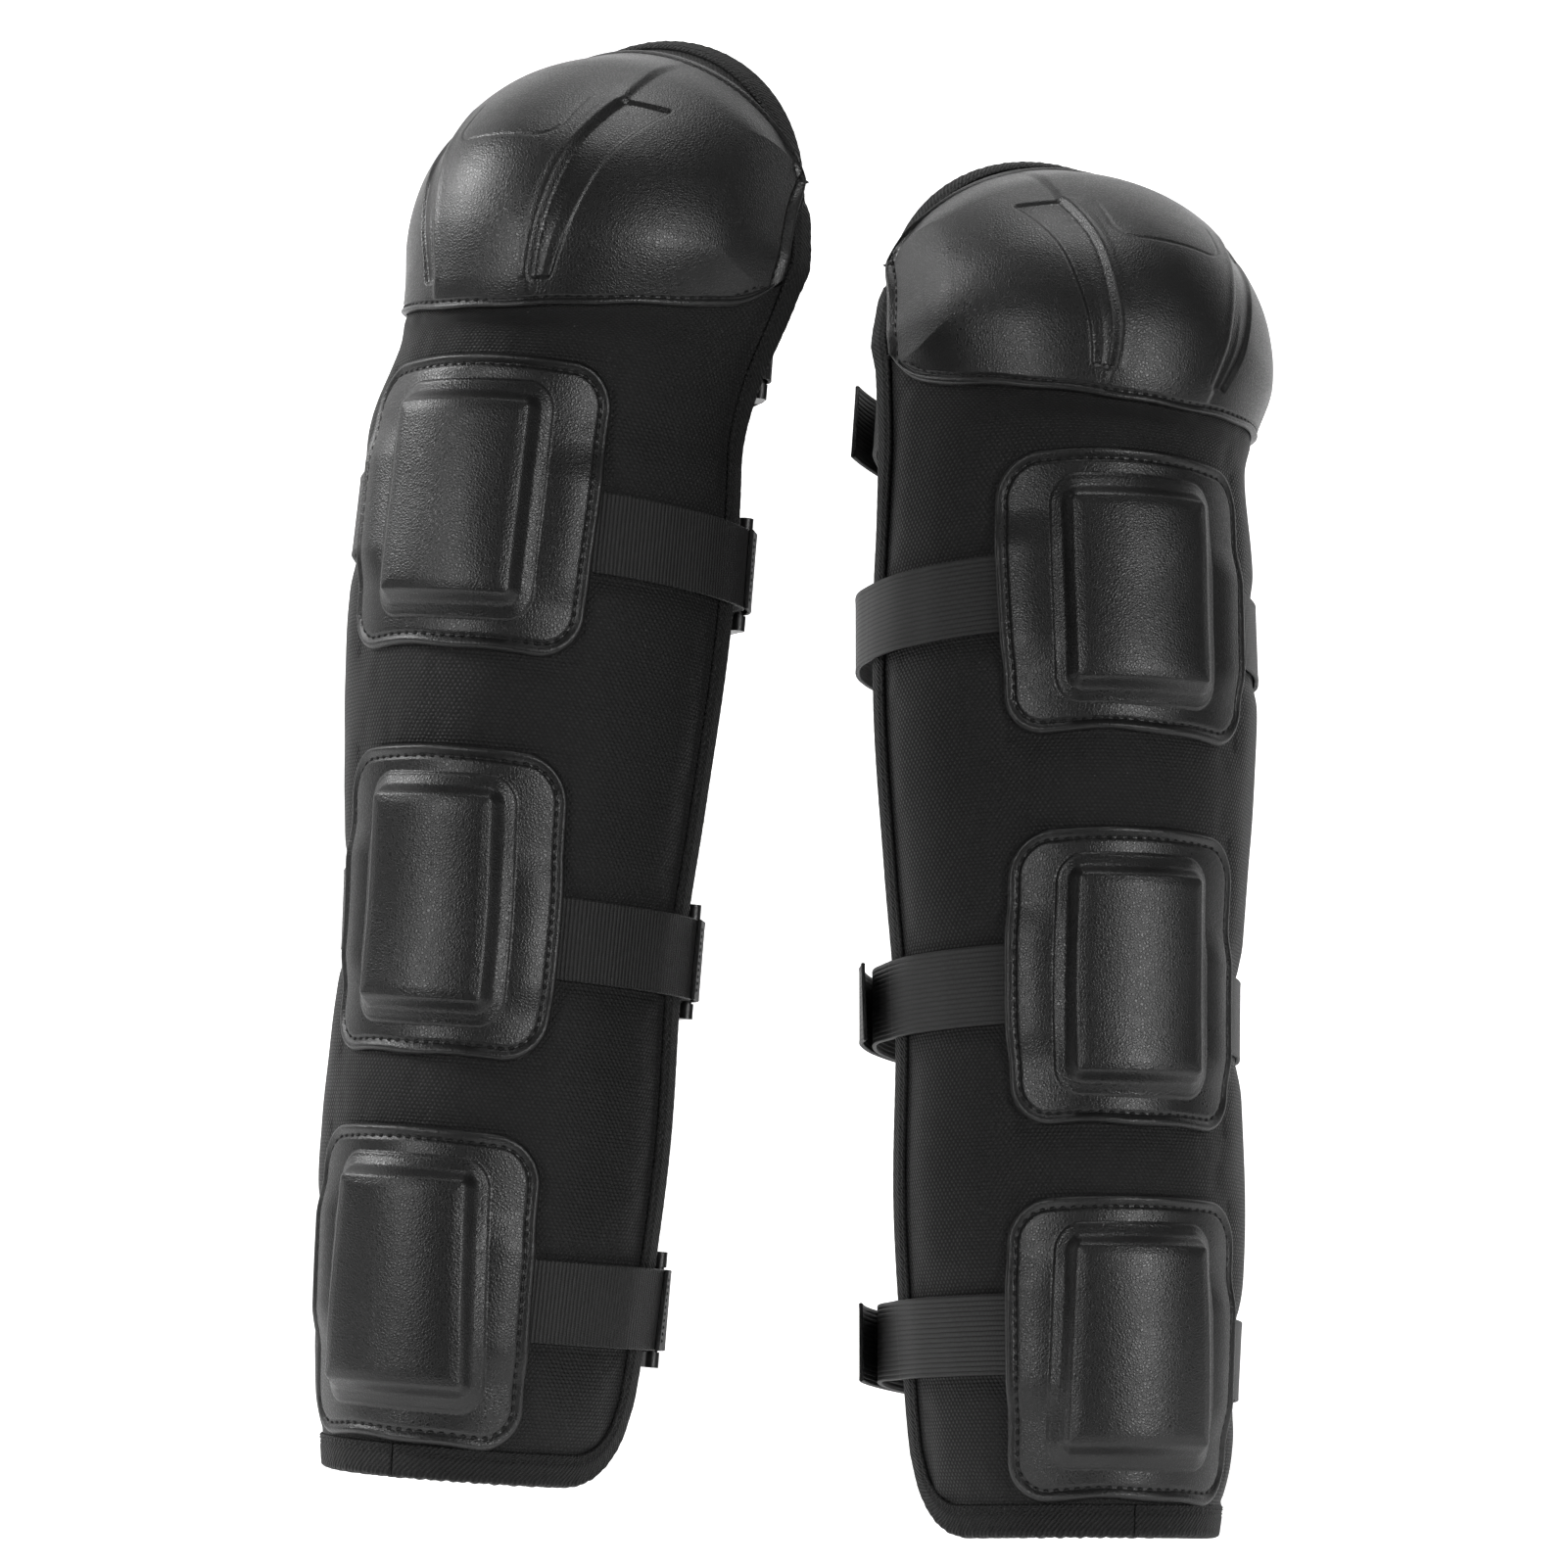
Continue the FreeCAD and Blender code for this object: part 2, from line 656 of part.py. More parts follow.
def strap_room(plate, x, v):
    """Return how far a plate lifts over the strap ends that are sewn under it."""
    strap = [s for s in STRAPS if s.plate == plate.name][0]
    reach = abs(x) - strap_start(plate, strap) + ROOM_MARGIN
    across = STRAP_WIDTH / 2 + ROOM_MARGIN - abs(v - strap_height(strap, x))
    rise = STRAP_LIFT + WEBBING_THICKNESS + SEAM_GAP
    return rise * smooth(reach / ROOM_SLOPE) * smooth(across / ROOM_SLOPE)


def plate_half_at(plate, v):
    """Return a plate's half width at girth v."""
    share = (v - plate.bottom) / (plate.top - plate.bottom)
    return plate.bottom_half + (plate.top_half - plate.bottom_half) * share


def strap_start(plate, strap):
    """Return how far round the wrap from the front a strap's sewn end starts."""
    return plate_half_at(plate, strap.height) - STRAP_UNDER_PLATE


def plate_offset(plate, extra):
    """Return the offset of a plate's under or upper face as a function of its u and w."""

    def out(u, w):
        x, v = plate_point(plate, u, w)
        return SEAM_GAP + extra + pad_rise(plate, x, v) + strap_room(plate, x, v)

    return out


def shin_plate(guard, plate):
    """Return one moulded plate with its raised pad and rounded corners."""
    low, high = (-1.0, -1.0), (1.0, 1.0)
    inner, outer = plate_offset(plate, 0.0), plate_offset(plate, PLATE_THICKNESS)
    return slab(plate_base(guard, plate), low, high, (41, 38), inner, outer)


def plate_insert(guard, plate):
    """Return the stiff foam block that fills a plate's raised pad."""
    half = plate.pad_half - INSERT_MARGIN
    low = (-half, plate.pad_bottom + PLATE_CROWN + INSERT_MARGIN)
    high = (half, plate.pad_top + PLATE_CROWN - INSERT_MARGIN)

    def base(x, v, out):
        return guard_point(guard, angle_of(x, v), v, out)

    def top(x, v):
        return max(pad_rise(plate, x, v, PAD_WALL / 4) - SEAM_GAP, INSERT_EDGE)

    return slab(base, low, high, (24, 28), flat(SEAM_GAP), top)


# ---------------------------------------------------------------- straps
class BackPath:
    """The plan of one strap behind the leg: out of the right edge, straight along the
    buckle, then round to the left edge. Lengths along it count from the right edge."""

    def __init__(self, strap, half_width, right_lean, left_lean):
        self.strap = strap
        self.half = half_width
        self.leans = (right_lean, left_lean)
        tilt = math.radians(BUCKLE_TILT)
        self.lead = EDGE_LEAD
        self.turn = TURN_RADIUS * tilt
        self.straight = SOCKET_LENGTH + PLUG_BASE_LENGTH + 2 * BUCKLE_LEAD
        x = half_width - TURN_RADIUS * (1 - math.cos(tilt)) - self.straight * math.sin(tilt)
        self.radius = (x + half_width) / (1 + math.cos(tilt))
        self.sweep = self.radius * (math.pi - tilt)
        y = EDGE_BACK + self.lead + TURN_RADIUS * math.sin(tilt)
        y += self.straight * math.cos(tilt)
        self.drop = y - self.radius * math.sin(tilt) - EDGE_BACK
        self.length = self.lead + self.turn + self.straight + self.sweep + self.drop

    def plan(self, s):
        """Return (x, y, heading in radians from +y towards -x) at length s."""
        x, y, heading = self.half, EDGE_BACK, 0.0
        for length, radius in (
            (self.lead, None),
            (self.turn, TURN_RADIUS),
            (self.straight, None),
            (self.sweep, self.radius),
            (self.drop, None),
        ):
            part = min(s, length)
            if radius is None:
                x -= part * math.sin(heading)
                y += part * math.cos(heading)
            else:
                after = heading + part / radius
                x += radius * (math.cos(after) - math.cos(heading))
                y += radius * (math.sin(after) - math.sin(heading))
                heading = after
            s -= part
            if s <= 0.0:
                break
        return x, y, heading

    def station(self, s, out=0.0):
        """Return (origin, across, normal, freedom) at length s, out mm outside the path."""
        x, y, heading = self.plan(s)
        normal = vec(math.cos(heading), math.sin(heading), 0)
        share = smooth((s - self.lead - self.turn - self.straight) / self.sweep)
        z = self.strap.height + STRAP_RISE * share
        to_left = self.length - s
        lean = self.leans[0] if s < to_left else self.leans[1]
        freedom = smooth(min(s, to_left) / (self.lead + self.turn))
        across = (lean * (1.0 - freedom) + vec(0, 0, freedom)).normalize()
        return vec(x, y, z) + normal * out, across, normal, freedom


def side_stations(guard, strap, side):
    """Return the strap's stations on the wrap, from its sewn end to the edge."""
    height = strap_height(strap, side)
    half = 0.5 * WEBBING_THICKNESS
    if strap.plate is None:
        start = FULL_ANGLE - angle_of(KNEE_STRAP_INSET, height)
    else:
        plate = [p for p in PLATES if p.name == strap.plate][0]
        start = angle_of(strap_start(plate, strap), height)
    stations = []
    for k in range(SIDE_STATIONS):
        theta = start + (FULL_ANGLE - start) * k / (SIDE_STATIONS - 1.0)
        if strap.plate is None:
            out = -WRAP_THICKNESS - EDGE_CLEAR - KNEE_STRAP_LIFT - half
        else:
            share = smooth((theta - FULL_ANGLE + EDGE_RAMP) / (0.6 * EDGE_RAMP))
            out = half + STRAP_LIFT + (EDGE_CLEAR - STRAP_LIFT) * share
        here = spread_out(guard, face_point(side * theta, height, out))
        beyond = spread_out(guard, face_point(side * theta, height, out + 1))
        above = spread_out(guard, face_point(side * theta, height + 1, out))
        across, normal = (above - here).normalize(), (beyond - here).normalize()
        stations.append((here, across, normal, 0.0))
    return stations


def back_path(guard, strap):
    """Return the strap's path behind the leg."""
    right = side_stations(guard, strap, 1)[-1]
    left = side_stations(guard, strap, -1)[-1]
    return BackPath(strap, right[0].x, right[1], left[1])


def bar_stations(path, s_bar, heading_out):
    """Return stations round a buckle bar at length s_bar, from inside the bar to outside.

    heading_out is +1 where the strap arrives along the path and -1 where it arrives
    against it."""
    centre, across, normal, freedom = path.station(s_bar, LOOP_RADIUS)
    along = across.cross(normal) * heading_out
    stations = []
    for k in range(1, 8):
        a = math.pi * k / 8.0
        out = along * math.sin(a) - normal * math.cos(a)
        stations.append((centre + out * LOOP_RADIUS, across, out * -1.0, freedom))
    return stations


def webbing(guard, strap):
    """Return the short webbing sewn to the right side and looped round the socket's bar."""
    path = back_path(guard, strap)
    s_bar = path.lead + path.turn + BUCKLE_LEAD + BAR_RADIUS
    stations = side_stations(guard, strap, 1)[:-1]
    for k in range(6):
        stations.append(path.station(s_bar * k / 8.0))
    stations += [path.station(s_bar - gap) for gap in BAR_APPROACH]
    stations += bar_stations(path, s_bar, 1)
    for k in range(13):
        s = s_bar - WEBBING_RETURN * k / 12.0
        gap = 2 * LOOP_RADIUS - (2 * LOOP_RADIUS - LAYER_PITCH) * smooth(k / 10.0)
        origin, across, normal, freedom = path.station(s, gap)
        stations.append((origin, across, normal * -1.0, freedom))
    return strap_solid(guard, stations, WEBBING_THICKNESS)


def elastic_strap(guard, strap):
    """Return the elastic: sewn at the left, round the back, through the plug, and its tail."""
    path = back_path(guard, strap)
    s_bar = path.lead + path.turn + BUCKLE_LEAD + SOCKET_LENGTH + PLUG_BASE_LENGTH
    s_bar += SLIDE_CLEARANCE - BAR_RADIUS
    stations = side_stations(guard, strap, -1)[:-1]
    run = path.length - s_bar
    shares = [k / 28.0 for k in range(27)]
    stations += [path.station(path.length - run * share) for share in shares]
    stations += [path.station(s_bar + gap) for gap in BAR_APPROACH]
    stations += bar_stations(path, s_bar, -1)
    for k in range(-12, 20):
        run = WEBBING_RETURN * (k + 12) / 12.0 if k < 0 else WEBBING_RETURN
        run += (strap.tail - WEBBING_RETURN) * max(k, 0) / 19.0
        share = run / strap.tail
        gap = 2 * LOOP_RADIUS - (2 * LOOP_RADIUS - LAYER_PITCH) * smooth(run / WEBBING_RETURN)
        gap += TAIL_END_LIFT * max(share - 0.55, 0.0) ** 2 / 0.2
        origin, across, normal, freedom = path.station(s_bar + run, gap)
        stations.append((origin, across, normal * -1.0, freedom))
    return strap_solid(guard, stations, ELASTIC_THICKNESS)


def strap_solid(guard, stations, thickness):
    """Return a flat strap through stations of its middle line, bent with the guard."""
    placed = []
    for origin, across, normal, freedom in stations:
        here = bent(guard, origin)
        held = (bent(guard, origin + across) - here).normalize()
        free = bend_turned(guard, across, bend_share(origin.z))
        width_way = (held * (1.0 - freedom) + free * freedom).normalize()
        out_way = bend_turned(guard, normal, bend_share(origin.z))
        placed.append((here, width_way, out_way))
    half_w, half_t = STRAP_WIDTH / 2, thickness / 2
    profile = [(-half_w, -half_t), (half_w, -half_t), (half_w, half_t), (-half_w, half_t)]
    return ribbon(placed, profile)


# ---------------------------------------------------------------- the buckles
def box_between(low, high):
    """Return the box between two corners given as (x, y, z)."""
    size = [b - a for a, b in zip(low, high)]
    return Part.makeBox(size[0], size[1], size[2], vec(*low))


def slot_frame(x_bar, way):
    """Return the two rails and the round bar that a strap is looped on.

    way is +1 where the buckle's body lies towards +x from the bar, -1 where it lies back."""
    half_y, half_z = BUCKLE_WIDTH / 2, BUCKLE_RAIL_THICKNESS / 2
    far = x_bar + way * (BAR_RADIUS + STRAP_SLOT + BUCKLE_ROUND)
    x0, x1 = min(x_bar, far), max(x_bar, far)
    shape = Part.makeCylinder(BAR_RADIUS, BUCKLE_WIDTH, vec(x_bar, -half_y, 0), vec(0, 1, 0))
    for side in (-1, 1):
        y = sorted((side * SLOT_WIDTH / 2, side * half_y))
        rail = box_between((x0, y[0], -half_z), (x1, y[1], half_z))
        knob = Part.makeCylinder(half_z, y[1] - y[0], vec(x_bar, y[0], 0), vec(0, 1, 0))
        shape = shape.fuse(rail).fuse(knob)
    return shape


def rounded_block(low, high, radius):
    """Return a box whose edges along x are rounded."""
    block = box_between(low, high)
    edges = [e for e in block.Edges if abs(e.tangentAt(0).x) > 0.9]
    return block.makeFillet(radius, edges)


def socket_solid():
    """Return the socket half, its strap bar's axis along y through the origin."""
    half_y, half_z = BUCKLE_WIDTH / 2, BUCKLE_THICKNESS / 2
    mouth, start = SOCKET_MOUTH, SOCKET_BODY_START
    body = rounded_block((start, -half_y, -half_z), (mouth, half_y, half_z), BUCKLE_ROUND)
    inside = half_z - BUCKLE_WALL
    depth = SOCKET_CAVITY_START
    cavity = box_between((depth, -half_y - 1, -inside), (mouth + 1, half_y + 1, inside))
    guides = []
    for side in (-1, 1):
        y0 = PLUG_TONGUE_WIDTH / 2 + SLIDE_CLEARANCE
        y = sorted((side * y0, side * (y0 + BUCKLE_WALL)))
        guides.append(box_between((depth - 1, y[0], -inside - 0.5), (mouth, y[1], inside + 0.5)))
    shape = body.cut(cavity)
    for guide in guides:
        shape = shape.fuse(guide)
    return shape.fuse(slot_frame(0.0, 1)).removeSplitter()


def arm_outline(side, x_root, x_tip):
    """Return the face of one latch arm, with its head swelling out to the socket's side."""
    y_in = PLUG_TONGUE_WIDTH / 2 + 2 * SLIDE_CLEARANCE + BUCKLE_WALL + 1.2
    y_root = y_in + 3.0
    y_head = BUCKLE_WIDTH / 2 - 0.2
    span = x_root - x_tip
    corners = [
        (x_root, y_root),
        (x_tip + 0.30 * span, y_root - 0.5),
        (x_tip, y_head - PLUG_ARM_WIDTH - 1.4),
        (x_tip, y_head - PLUG_ARM_WIDTH + 1.6),
        (x_tip + 0.16 * span, y_head - 0.6),
        (x_tip + 0.42 * span, y_head),
        (x_tip + 0.46 * span, y_root + PLUG_ARM_WIDTH),
        (x_root, y_root + PLUG_ARM_WIDTH),
    ]
    points = [vec(x, side * y, 0) for x, y in corners]
    return Part.Face(Part.makePolygon(points + points[:1]))


def plug_solid():
    """Return the plug half in its socket's frame: base, two latch arms and a tongue."""
    half_y, half_z = BUCKLE_WIDTH / 2, PLUG_BASE_THICKNESS / 2
    mouth = SOCKET_MOUTH + SLIDE_CLEARANCE
    x_bar = mouth + PLUG_BASE_LENGTH - BAR_RADIUS
    base_end = x_bar - BAR_RADIUS - STRAP_SLOT
    shape = rounded_block((mouth, -half_y, -half_z), (base_end, half_y, half_z), BUCKLE_ROUND)
    inside = BUCKLE_THICKNESS / 2 - BUCKLE_WALL - SLIDE_CLEARANCE
    x_tip = mouth - PLUG_ARM_LENGTH
    for side in (-1, 1):
        face = arm_outline(side, mouth + 1.0, x_tip)
        face.translate(vec(0, 0, -inside))
        shape = shape.fuse(face.extrude(vec(0, 0, 2 * inside)))
    tongue_y = PLUG_TONGUE_WIDTH / 2
    tongue = box_between((x_tip, -tongue_y, -inside), (mouth + 1.0, tongue_y, inside))
    return shape.fuse(tongue).fuse(slot_frame(x_bar, -1)).removeSplitter()


def buckle_placement(guard, strap):
    """Return where a strap's buckle sits: x along the strap, z outwards."""
    path = back_path(guard, strap)
    s_bar = path.lead + path.turn + BUCKLE_LEAD + BAR_RADIUS
    origin, _, normal, _ = path.station(s_bar, LOOP_RADIUS)
    share = bend_share(origin.z)
    x_axis = bend_turned(guard, vec(0, 0, 1).cross(normal), share)
    z_axis = bend_turned(guard, normal, share)
    y_axis = z_axis.cross(x_axis)
    here = bent(guard, origin)
    turn = FreeCAD.Rotation(x_axis, y_axis, z_axis, "XYZ")
    return FreeCAD.Placement(here, turn)


# ---------------------------------------------------------------- building and saving
def guard_solids(guard):
    """Return {node: solid} of one guard, in the guard's own frame."""
    foam_out = -COVER_THICKNESS - LAYER_GAP
    foam_in = foam_out - FOAM_THICKNESS
    solids = {
        "body_cover": wrap_layer(guard, -COVER_THICKNESS, 0.0),
        "foam_core": wrap_layer(guard, foam_in, foam_out, FOAM_INSET),
        "mesh_lining": wrap_layer(guard, -WRAP_THICKNESS, foam_in - LAYER_GAP),
        "edge_binding": edge_binding(guard),
        "knee_cup": knee_cup(guard),
        "knee_cup_pad": knee_pad(guard),
    }
    for plate in PLATES:
        solids[plate.name + "_shin_plate"] = shin_plate(guard, plate)
        solids[plate.name + "_plate_insert"] = plate_insert(guard, plate)
    for strap in STRAPS:
        place = buckle_placement(guard, strap).toMatrix()
        solids[strap.name + "_webbing"] = webbing(guard, strap)
        solids[strap.name + "_elastic_strap"] = elastic_strap(guard, strap)
        solids[strap.name + "_buckle_socket"] = socket_solid().transformGeometry(place)
        solids[strap.name + "_buckle_plug"] = plug_solid().transformGeometry(place)
    return solids


def main():
    """Build both guards and save each piece."""
    for guard in GUARDS:
        place = placement(guard)
        for name, solid in guard_solids(guard).items():
            solid.Placement = place.multiply(solid.Placement)
            node = guard.name + "_" + name
            solid.exportStep("parts/" + node + ".step")
            print(node, solid.ShapeType, solid.isValid(), round(solid.Volume), len(solid.Solids))


main()
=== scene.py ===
"""A pair of strap-on knee and shin guards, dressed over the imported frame."""
import logging
import math
from dataclasses import dataclass, replace
from enum import Enum
from typing import Optional, Sequence

import bpy
import numpy as np
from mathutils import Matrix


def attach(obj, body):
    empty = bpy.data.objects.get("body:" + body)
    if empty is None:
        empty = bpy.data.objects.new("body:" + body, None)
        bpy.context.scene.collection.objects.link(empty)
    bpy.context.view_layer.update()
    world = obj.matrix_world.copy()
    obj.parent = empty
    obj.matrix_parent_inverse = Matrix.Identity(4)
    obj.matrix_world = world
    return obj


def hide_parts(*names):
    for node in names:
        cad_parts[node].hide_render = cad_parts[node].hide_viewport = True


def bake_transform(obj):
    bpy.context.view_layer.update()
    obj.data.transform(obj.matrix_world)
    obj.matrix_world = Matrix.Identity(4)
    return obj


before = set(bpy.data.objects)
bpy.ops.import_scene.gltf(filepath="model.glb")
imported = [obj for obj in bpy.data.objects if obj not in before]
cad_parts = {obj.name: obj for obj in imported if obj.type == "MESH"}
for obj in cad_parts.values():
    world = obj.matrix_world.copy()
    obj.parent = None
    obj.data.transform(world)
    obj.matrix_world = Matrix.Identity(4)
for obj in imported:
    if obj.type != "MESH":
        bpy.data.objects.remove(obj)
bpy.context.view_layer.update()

log = logging.getLogger("knee_guards")

MM = 0.001
BODY = "wraps"

# ---- layers of the padded wrap, mm ----
COVER = 1.2
FOAM = 6.5
LINING = 1.0
LAYER_GAP = 0.25
FOAM_INSET = 3.5
WRAP = COVER + FOAM + LINING + 2 * LAYER_GAP
SEAM_GAP = 0.15
EDGE_BACK = 18.0
HEM_CORNER = 30.0
# (height, half width, front reach) up the shin
SHIN_LEVELS = (
    (0.0, 53.0, 56.0),
    (30.0, 58.0, 60.0),
    (67.0, 61.0, 63.0),
    (125.0, 64.0, 65.0),
    (195.0, 63.0, 63.0),
    (250.0, 67.0, 68.0),
    (310.0, 71.0, 73.0),
    (360.0, 71.0, 71.0),
    (410.0, 69.0, 69.0),
)
# (back edge y, back edge z, half width, front y, front z) round the knee
KNEE_SECTIONS = (
    (19.0, 437.0, 72.0, -74.0, 420.0),
    (20.0, 445.0, 73.5, -75.5, 440.0),
    (21.0, 450.0, 74.5, -74.0, 461.0),
    (22.0, 456.0, 74.0, -68.5, 478.0),
    (22.0, 461.0, 73.5, -58.0, 492.0),
    (22.0, 466.0, 73.0, -43.0, 505.5),
    (22.0, 470.0, 72.5, -25.0, 517.5),
    (21.0, 474.0, 71.5, -4.0, 530.0),
    (20.0, 477.0, 70.0, 17.0, 541.0),
)
BEND_START = 378.0
BEND_END = 450.0
BEND_PIVOT = 425.0

Array = np.ndarray


# ------------------------------------------------------------------ small maths
def smooth(t: Array) -> Array:
    """Ease t from 0 to 1."""
    t = np.clip(t, 0.0, 1.0)
    return t * t * (3.0 - 2.0 * t)


def unit(vectors: Array) -> Array:
    """Scale vectors along the last axis to length one."""
    length = np.linalg.norm(vectors, axis=-1, keepdims=True)
    return vectors / np.maximum(length, 1e-9)


def bell(t: Array, width: float) -> Array:
    """Give a rounded ridge, 1 at t = 0 and falling off over a width."""
    return np.exp(-((t / width) ** 2))


def edge_fall(depth: Array, reach: float) -> Array:
    """Give 1 at an edge, falling to 0 at reach inside it."""
    return np.maximum(1.0 - depth / reach, 0.0)


def inside_box(past_x: Array, past_y: Array, corner: float) -> Array:
    """Give how far a place is inside a box with round corners.

    Args:
        past_x: how far it is past the start of the corner, sideways.
        past_y: the same, upwards.
        corner: the corners' radius.

    Returns:
        The distance in from the outline, negative outside it.
    """
    outside = np.hypot(np.maximum(past_x, 0), np.maximum(past_y, 0))
    return corner - outside - np.minimum(np.maximum(past_x, past_y), 0)


def chance_waves(
    places: Array, rng: np.random.Generator, count: int, pace: float, swing: float
) -> Array:
    """Add up waves that run over a sheet in chance directions.

    Args:
        places: (..., 2) places on the sheet, mm.
        rng: the source of chance.
        count: how many waves.
        pace: the usual turn of a wave over 1 mm, in radians.
        swing: the top of the range of their phases.

    Returns:
        The sum, each wave going from -1 to 1.
    """
    total = np.zeros(places.shape[:-1])
    for _ in range(count):
        way = rng.normal(0.0, pace, 2)
        total += np.sin(places @ way + rng.uniform(0.0, swing))
    return total


def turn(axis: str, degrees: Array) -> Array:
    """Make rotation matrices about one axis of the frame.

    Args:
        axis: "x", "y" or "z".
        degrees: one angle or an array of angles.

    Returns:
        An array of 3 x 3 matrices, one for each angle.
    """
    a = np.radians(np.asarray(degrees, float))
    c, s, one, nil = np.cos(a), np.sin(a), np.ones_like(a), np.zeros_like(a)
    rows = {
        "x": ((one, nil, nil), (nil, c, -s), (nil, s, c)),
        "y": ((c, nil, s), (nil, one, nil), (-s, nil, c)),
        "z": ((c, -s, nil), (s, c, nil), (nil, nil, one)),
    }[axis]
    return np.stack([np.stack(row, -1) for row in rows], -2)


def spread_grid(low: float, high: float, count: int, crowd: float = 0.0) -> Array:
    """Spread numbers from low to high, crowded towards both ends.

    Args:
        low: the first number.
        high: the last number.
        count: how many numbers.
        crowd: 0 for even steps, up to 1 for the finest steps at the ends.

    Returns:
        The numbers in rising order.
    """
    t = np.linspace(0.0, 1.0, count)
    eased = 0.5 - 0.5 * np.cos(np.pi * t)
    return low + (high - low) * (t * (1.0 - crowd) + eased * crowd)


# ------------------------------------------------------------------ the leg's form
class LegForm:
    """The wrap's outer face as half ellipses stacked up the shin and round the knee."""

    def __init__(self) -> None:
        """Work out how far up the wrap, along its edge, every section lies."""
        rows = [(h, EDGE_BACK, h, w, -f, h) for h, w, f in SHIN_LEVELS]
        v = KNEE_SECTIONS[0][1]
        for i, row in enumerate(KNEE_SECTIONS):
            if i:
                last = KNEE_SECTIONS[i - 1]
                v += math.hypot(row[3] - last[3], row[4] - last[4])
            rows.append((v, *row))
        self.rows = np.array(rows)
        self.rim = float(self.rows[-1, 0])

    def section(self, v: Array) -> tuple[Array, ...]:
        """Read (edge y, edge z, half width, front y, front z) at girth positions v."""
        rows, last = self.rows, len(self.rows) - 1
        v = np.asarray(v, float)
        i = np.clip(np.searchsorted(rows[:, 0], v, "left") - 1, 0, last - 1)
        before, after = np.maximum(i - 1, 0), np.minimum(i + 2, last)
        a, b = rows[i], rows[i + 1]
        h = (b[..., 0] - a[..., 0])[..., None]
        t = ((v - a[..., 0]) / h[..., 0])[..., None]
        slope_a = (b - rows[before]) / (b[..., :1] - rows[before][..., :1])
        slope_b = (rows[after] - a) / (rows[after][..., :1] - a[..., :1])
        value = (2 * t**3 - 3 * t**2 + 1) * a + (t**3 - 2 * t**2 + t) * h * slope_a
        value = value + (3 * t**2 - 2 * t**3) * b + (t**3 - t**2) * h * slope_b
        return tuple(value[..., k] for k in range(1, 6))

    def face(self, theta: Array, v: Array, out: Array) -> Array:
        """Give points at angle theta (degrees) and girth v, out mm proud of the face."""
        theta, v, out = np.broadcast_arrays(theta, v, out)
        edge_y, edge_z, half, front_y, front_z = self.section(v)
        reach = np.hypot(front_y - edge_y, front_z - edge_z)
        s, c = np.sin(np.radians(theta)), np.cos(np.radians(theta))
        forward = (reach + out) * c / reach
        y = edge_y + (front_y - edge_y) * forward
        z = edge_z + (front_z - edge_z) * forward
        return np.stack([(half + out) * s, y, z], -1)

    def radius(self, v: Array) -> Array:
        """Give the mean radius that turns a width into an angle at girth v."""
        edge_y, edge_z, half, front_y, front_z = self.section(v)
        return 0.5 * (half + np.hypot(front_y - edge_y, front_z - edge_z))

    def angle(self, width: Array, v: Array) -> Array:
        """Turn a width in mm, measured round the wrap, into degrees."""
        return np.degrees(width / self.radius(v))

    def width(self, theta: Array, v: Array) -> Array:
        """Turn degrees into a width in mm, measured round the wrap."""
        return np.radians(theta) * self.radius(v)

    def from_side(self, theta: Array, v: Array) -> Array:
        """Give how far a place is from the wrap's long edge, mm."""
        return self.width(90.0 - np.abs(theta), v)


FORM = LegForm()


@dataclass(frozen=True)
class Guard:
    """Where one guard stands, and how its soft knee bends."""

    name: str
    place: tuple[float, float, float]
    yaw: float
    pitch: float
    roll: float
    sway: float
    twist: float
    lean: float
    nod: float
    spread: float
    seed: int

    def bend_share(self, height: Array) -> Array:
        """Give how much of the knee's bend acts at a height."""
        return smooth((np.asarray(height) - BEND_START) / (BEND_END - BEND_START))

    def bend_turn(self, vectors: Array, share: Array) -> Array:
        """Turn vectors by a share of the knee's bend."""
        matrix = turn("y", self.lean * share) @ turn("z", self.twist * share)
        matrix = matrix @ turn("x", -self.nod * share)
        return np.einsum("...ij,...j->...i", matrix, vectors)

    def bend(self, points: Array) -> Array:
        """Bend points of the straight guard at the knee."""
        share = self.bend_share(points[..., 2])
        pivot = np.array([0.0, 0.0, BEND_PIVOT])
        moved = self.bend_turn(points - pivot, share) + pivot
        moved[..., 0] += self.sway * share
        return moved

    def turning(self) -> Array:
        """Give the rotation from the guard's own frame to the pair's."""
        return turn("y", self.roll) @ turn("x", -self.pitch) @ turn("z", self.yaw)

    def into_frame(self, points: Array) -> Array:
        """Take points in mm from the guard's frame to the pair's frame, in metres."""
        return (points @ self.turning().T + np.array(self.place)) * MM

    def own(self, theta: Array, v: Array, out: Array) -> Array:
        """Give points in mm in the guard's own frame, bent at the knee."""
        points = FORM.face(theta, v, out)
        points[..., 0] *= self.spread
        return self.bend(points)

    def skin(self, theta: Array, v: Array, out: Array) -> Array:
        """Give frame points, in metres, on or above the wrap's outer face."""
        return self.into_frame(self.own(theta, v, out))

    def skin_normal(self, theta: Array, v: Array) -> Array:
        """Give the outward direction of the wrap's outer face."""
        return unit(self.skin(theta, v, 1.0) - self.skin(theta, v, 0.0))


GUARDS = (
    Guard(
        "left", (-119.0, -38.0, 18.0), yaw=-22.0, pitch=6.0, roll=4.6,
        sway=19.0, twist=-12.0, lean=0.0, nod=0.0, spread=1.0, seed=11,
    ),
    Guard(
        "right", (112.0, 15.0, -13.0), yaw=17.0, pitch=9.0, roll=0.0,
        sway=0.0, twist=9.0, lean=6.0, nod=3.0, spread=1.04, seed=23,
    ),
)


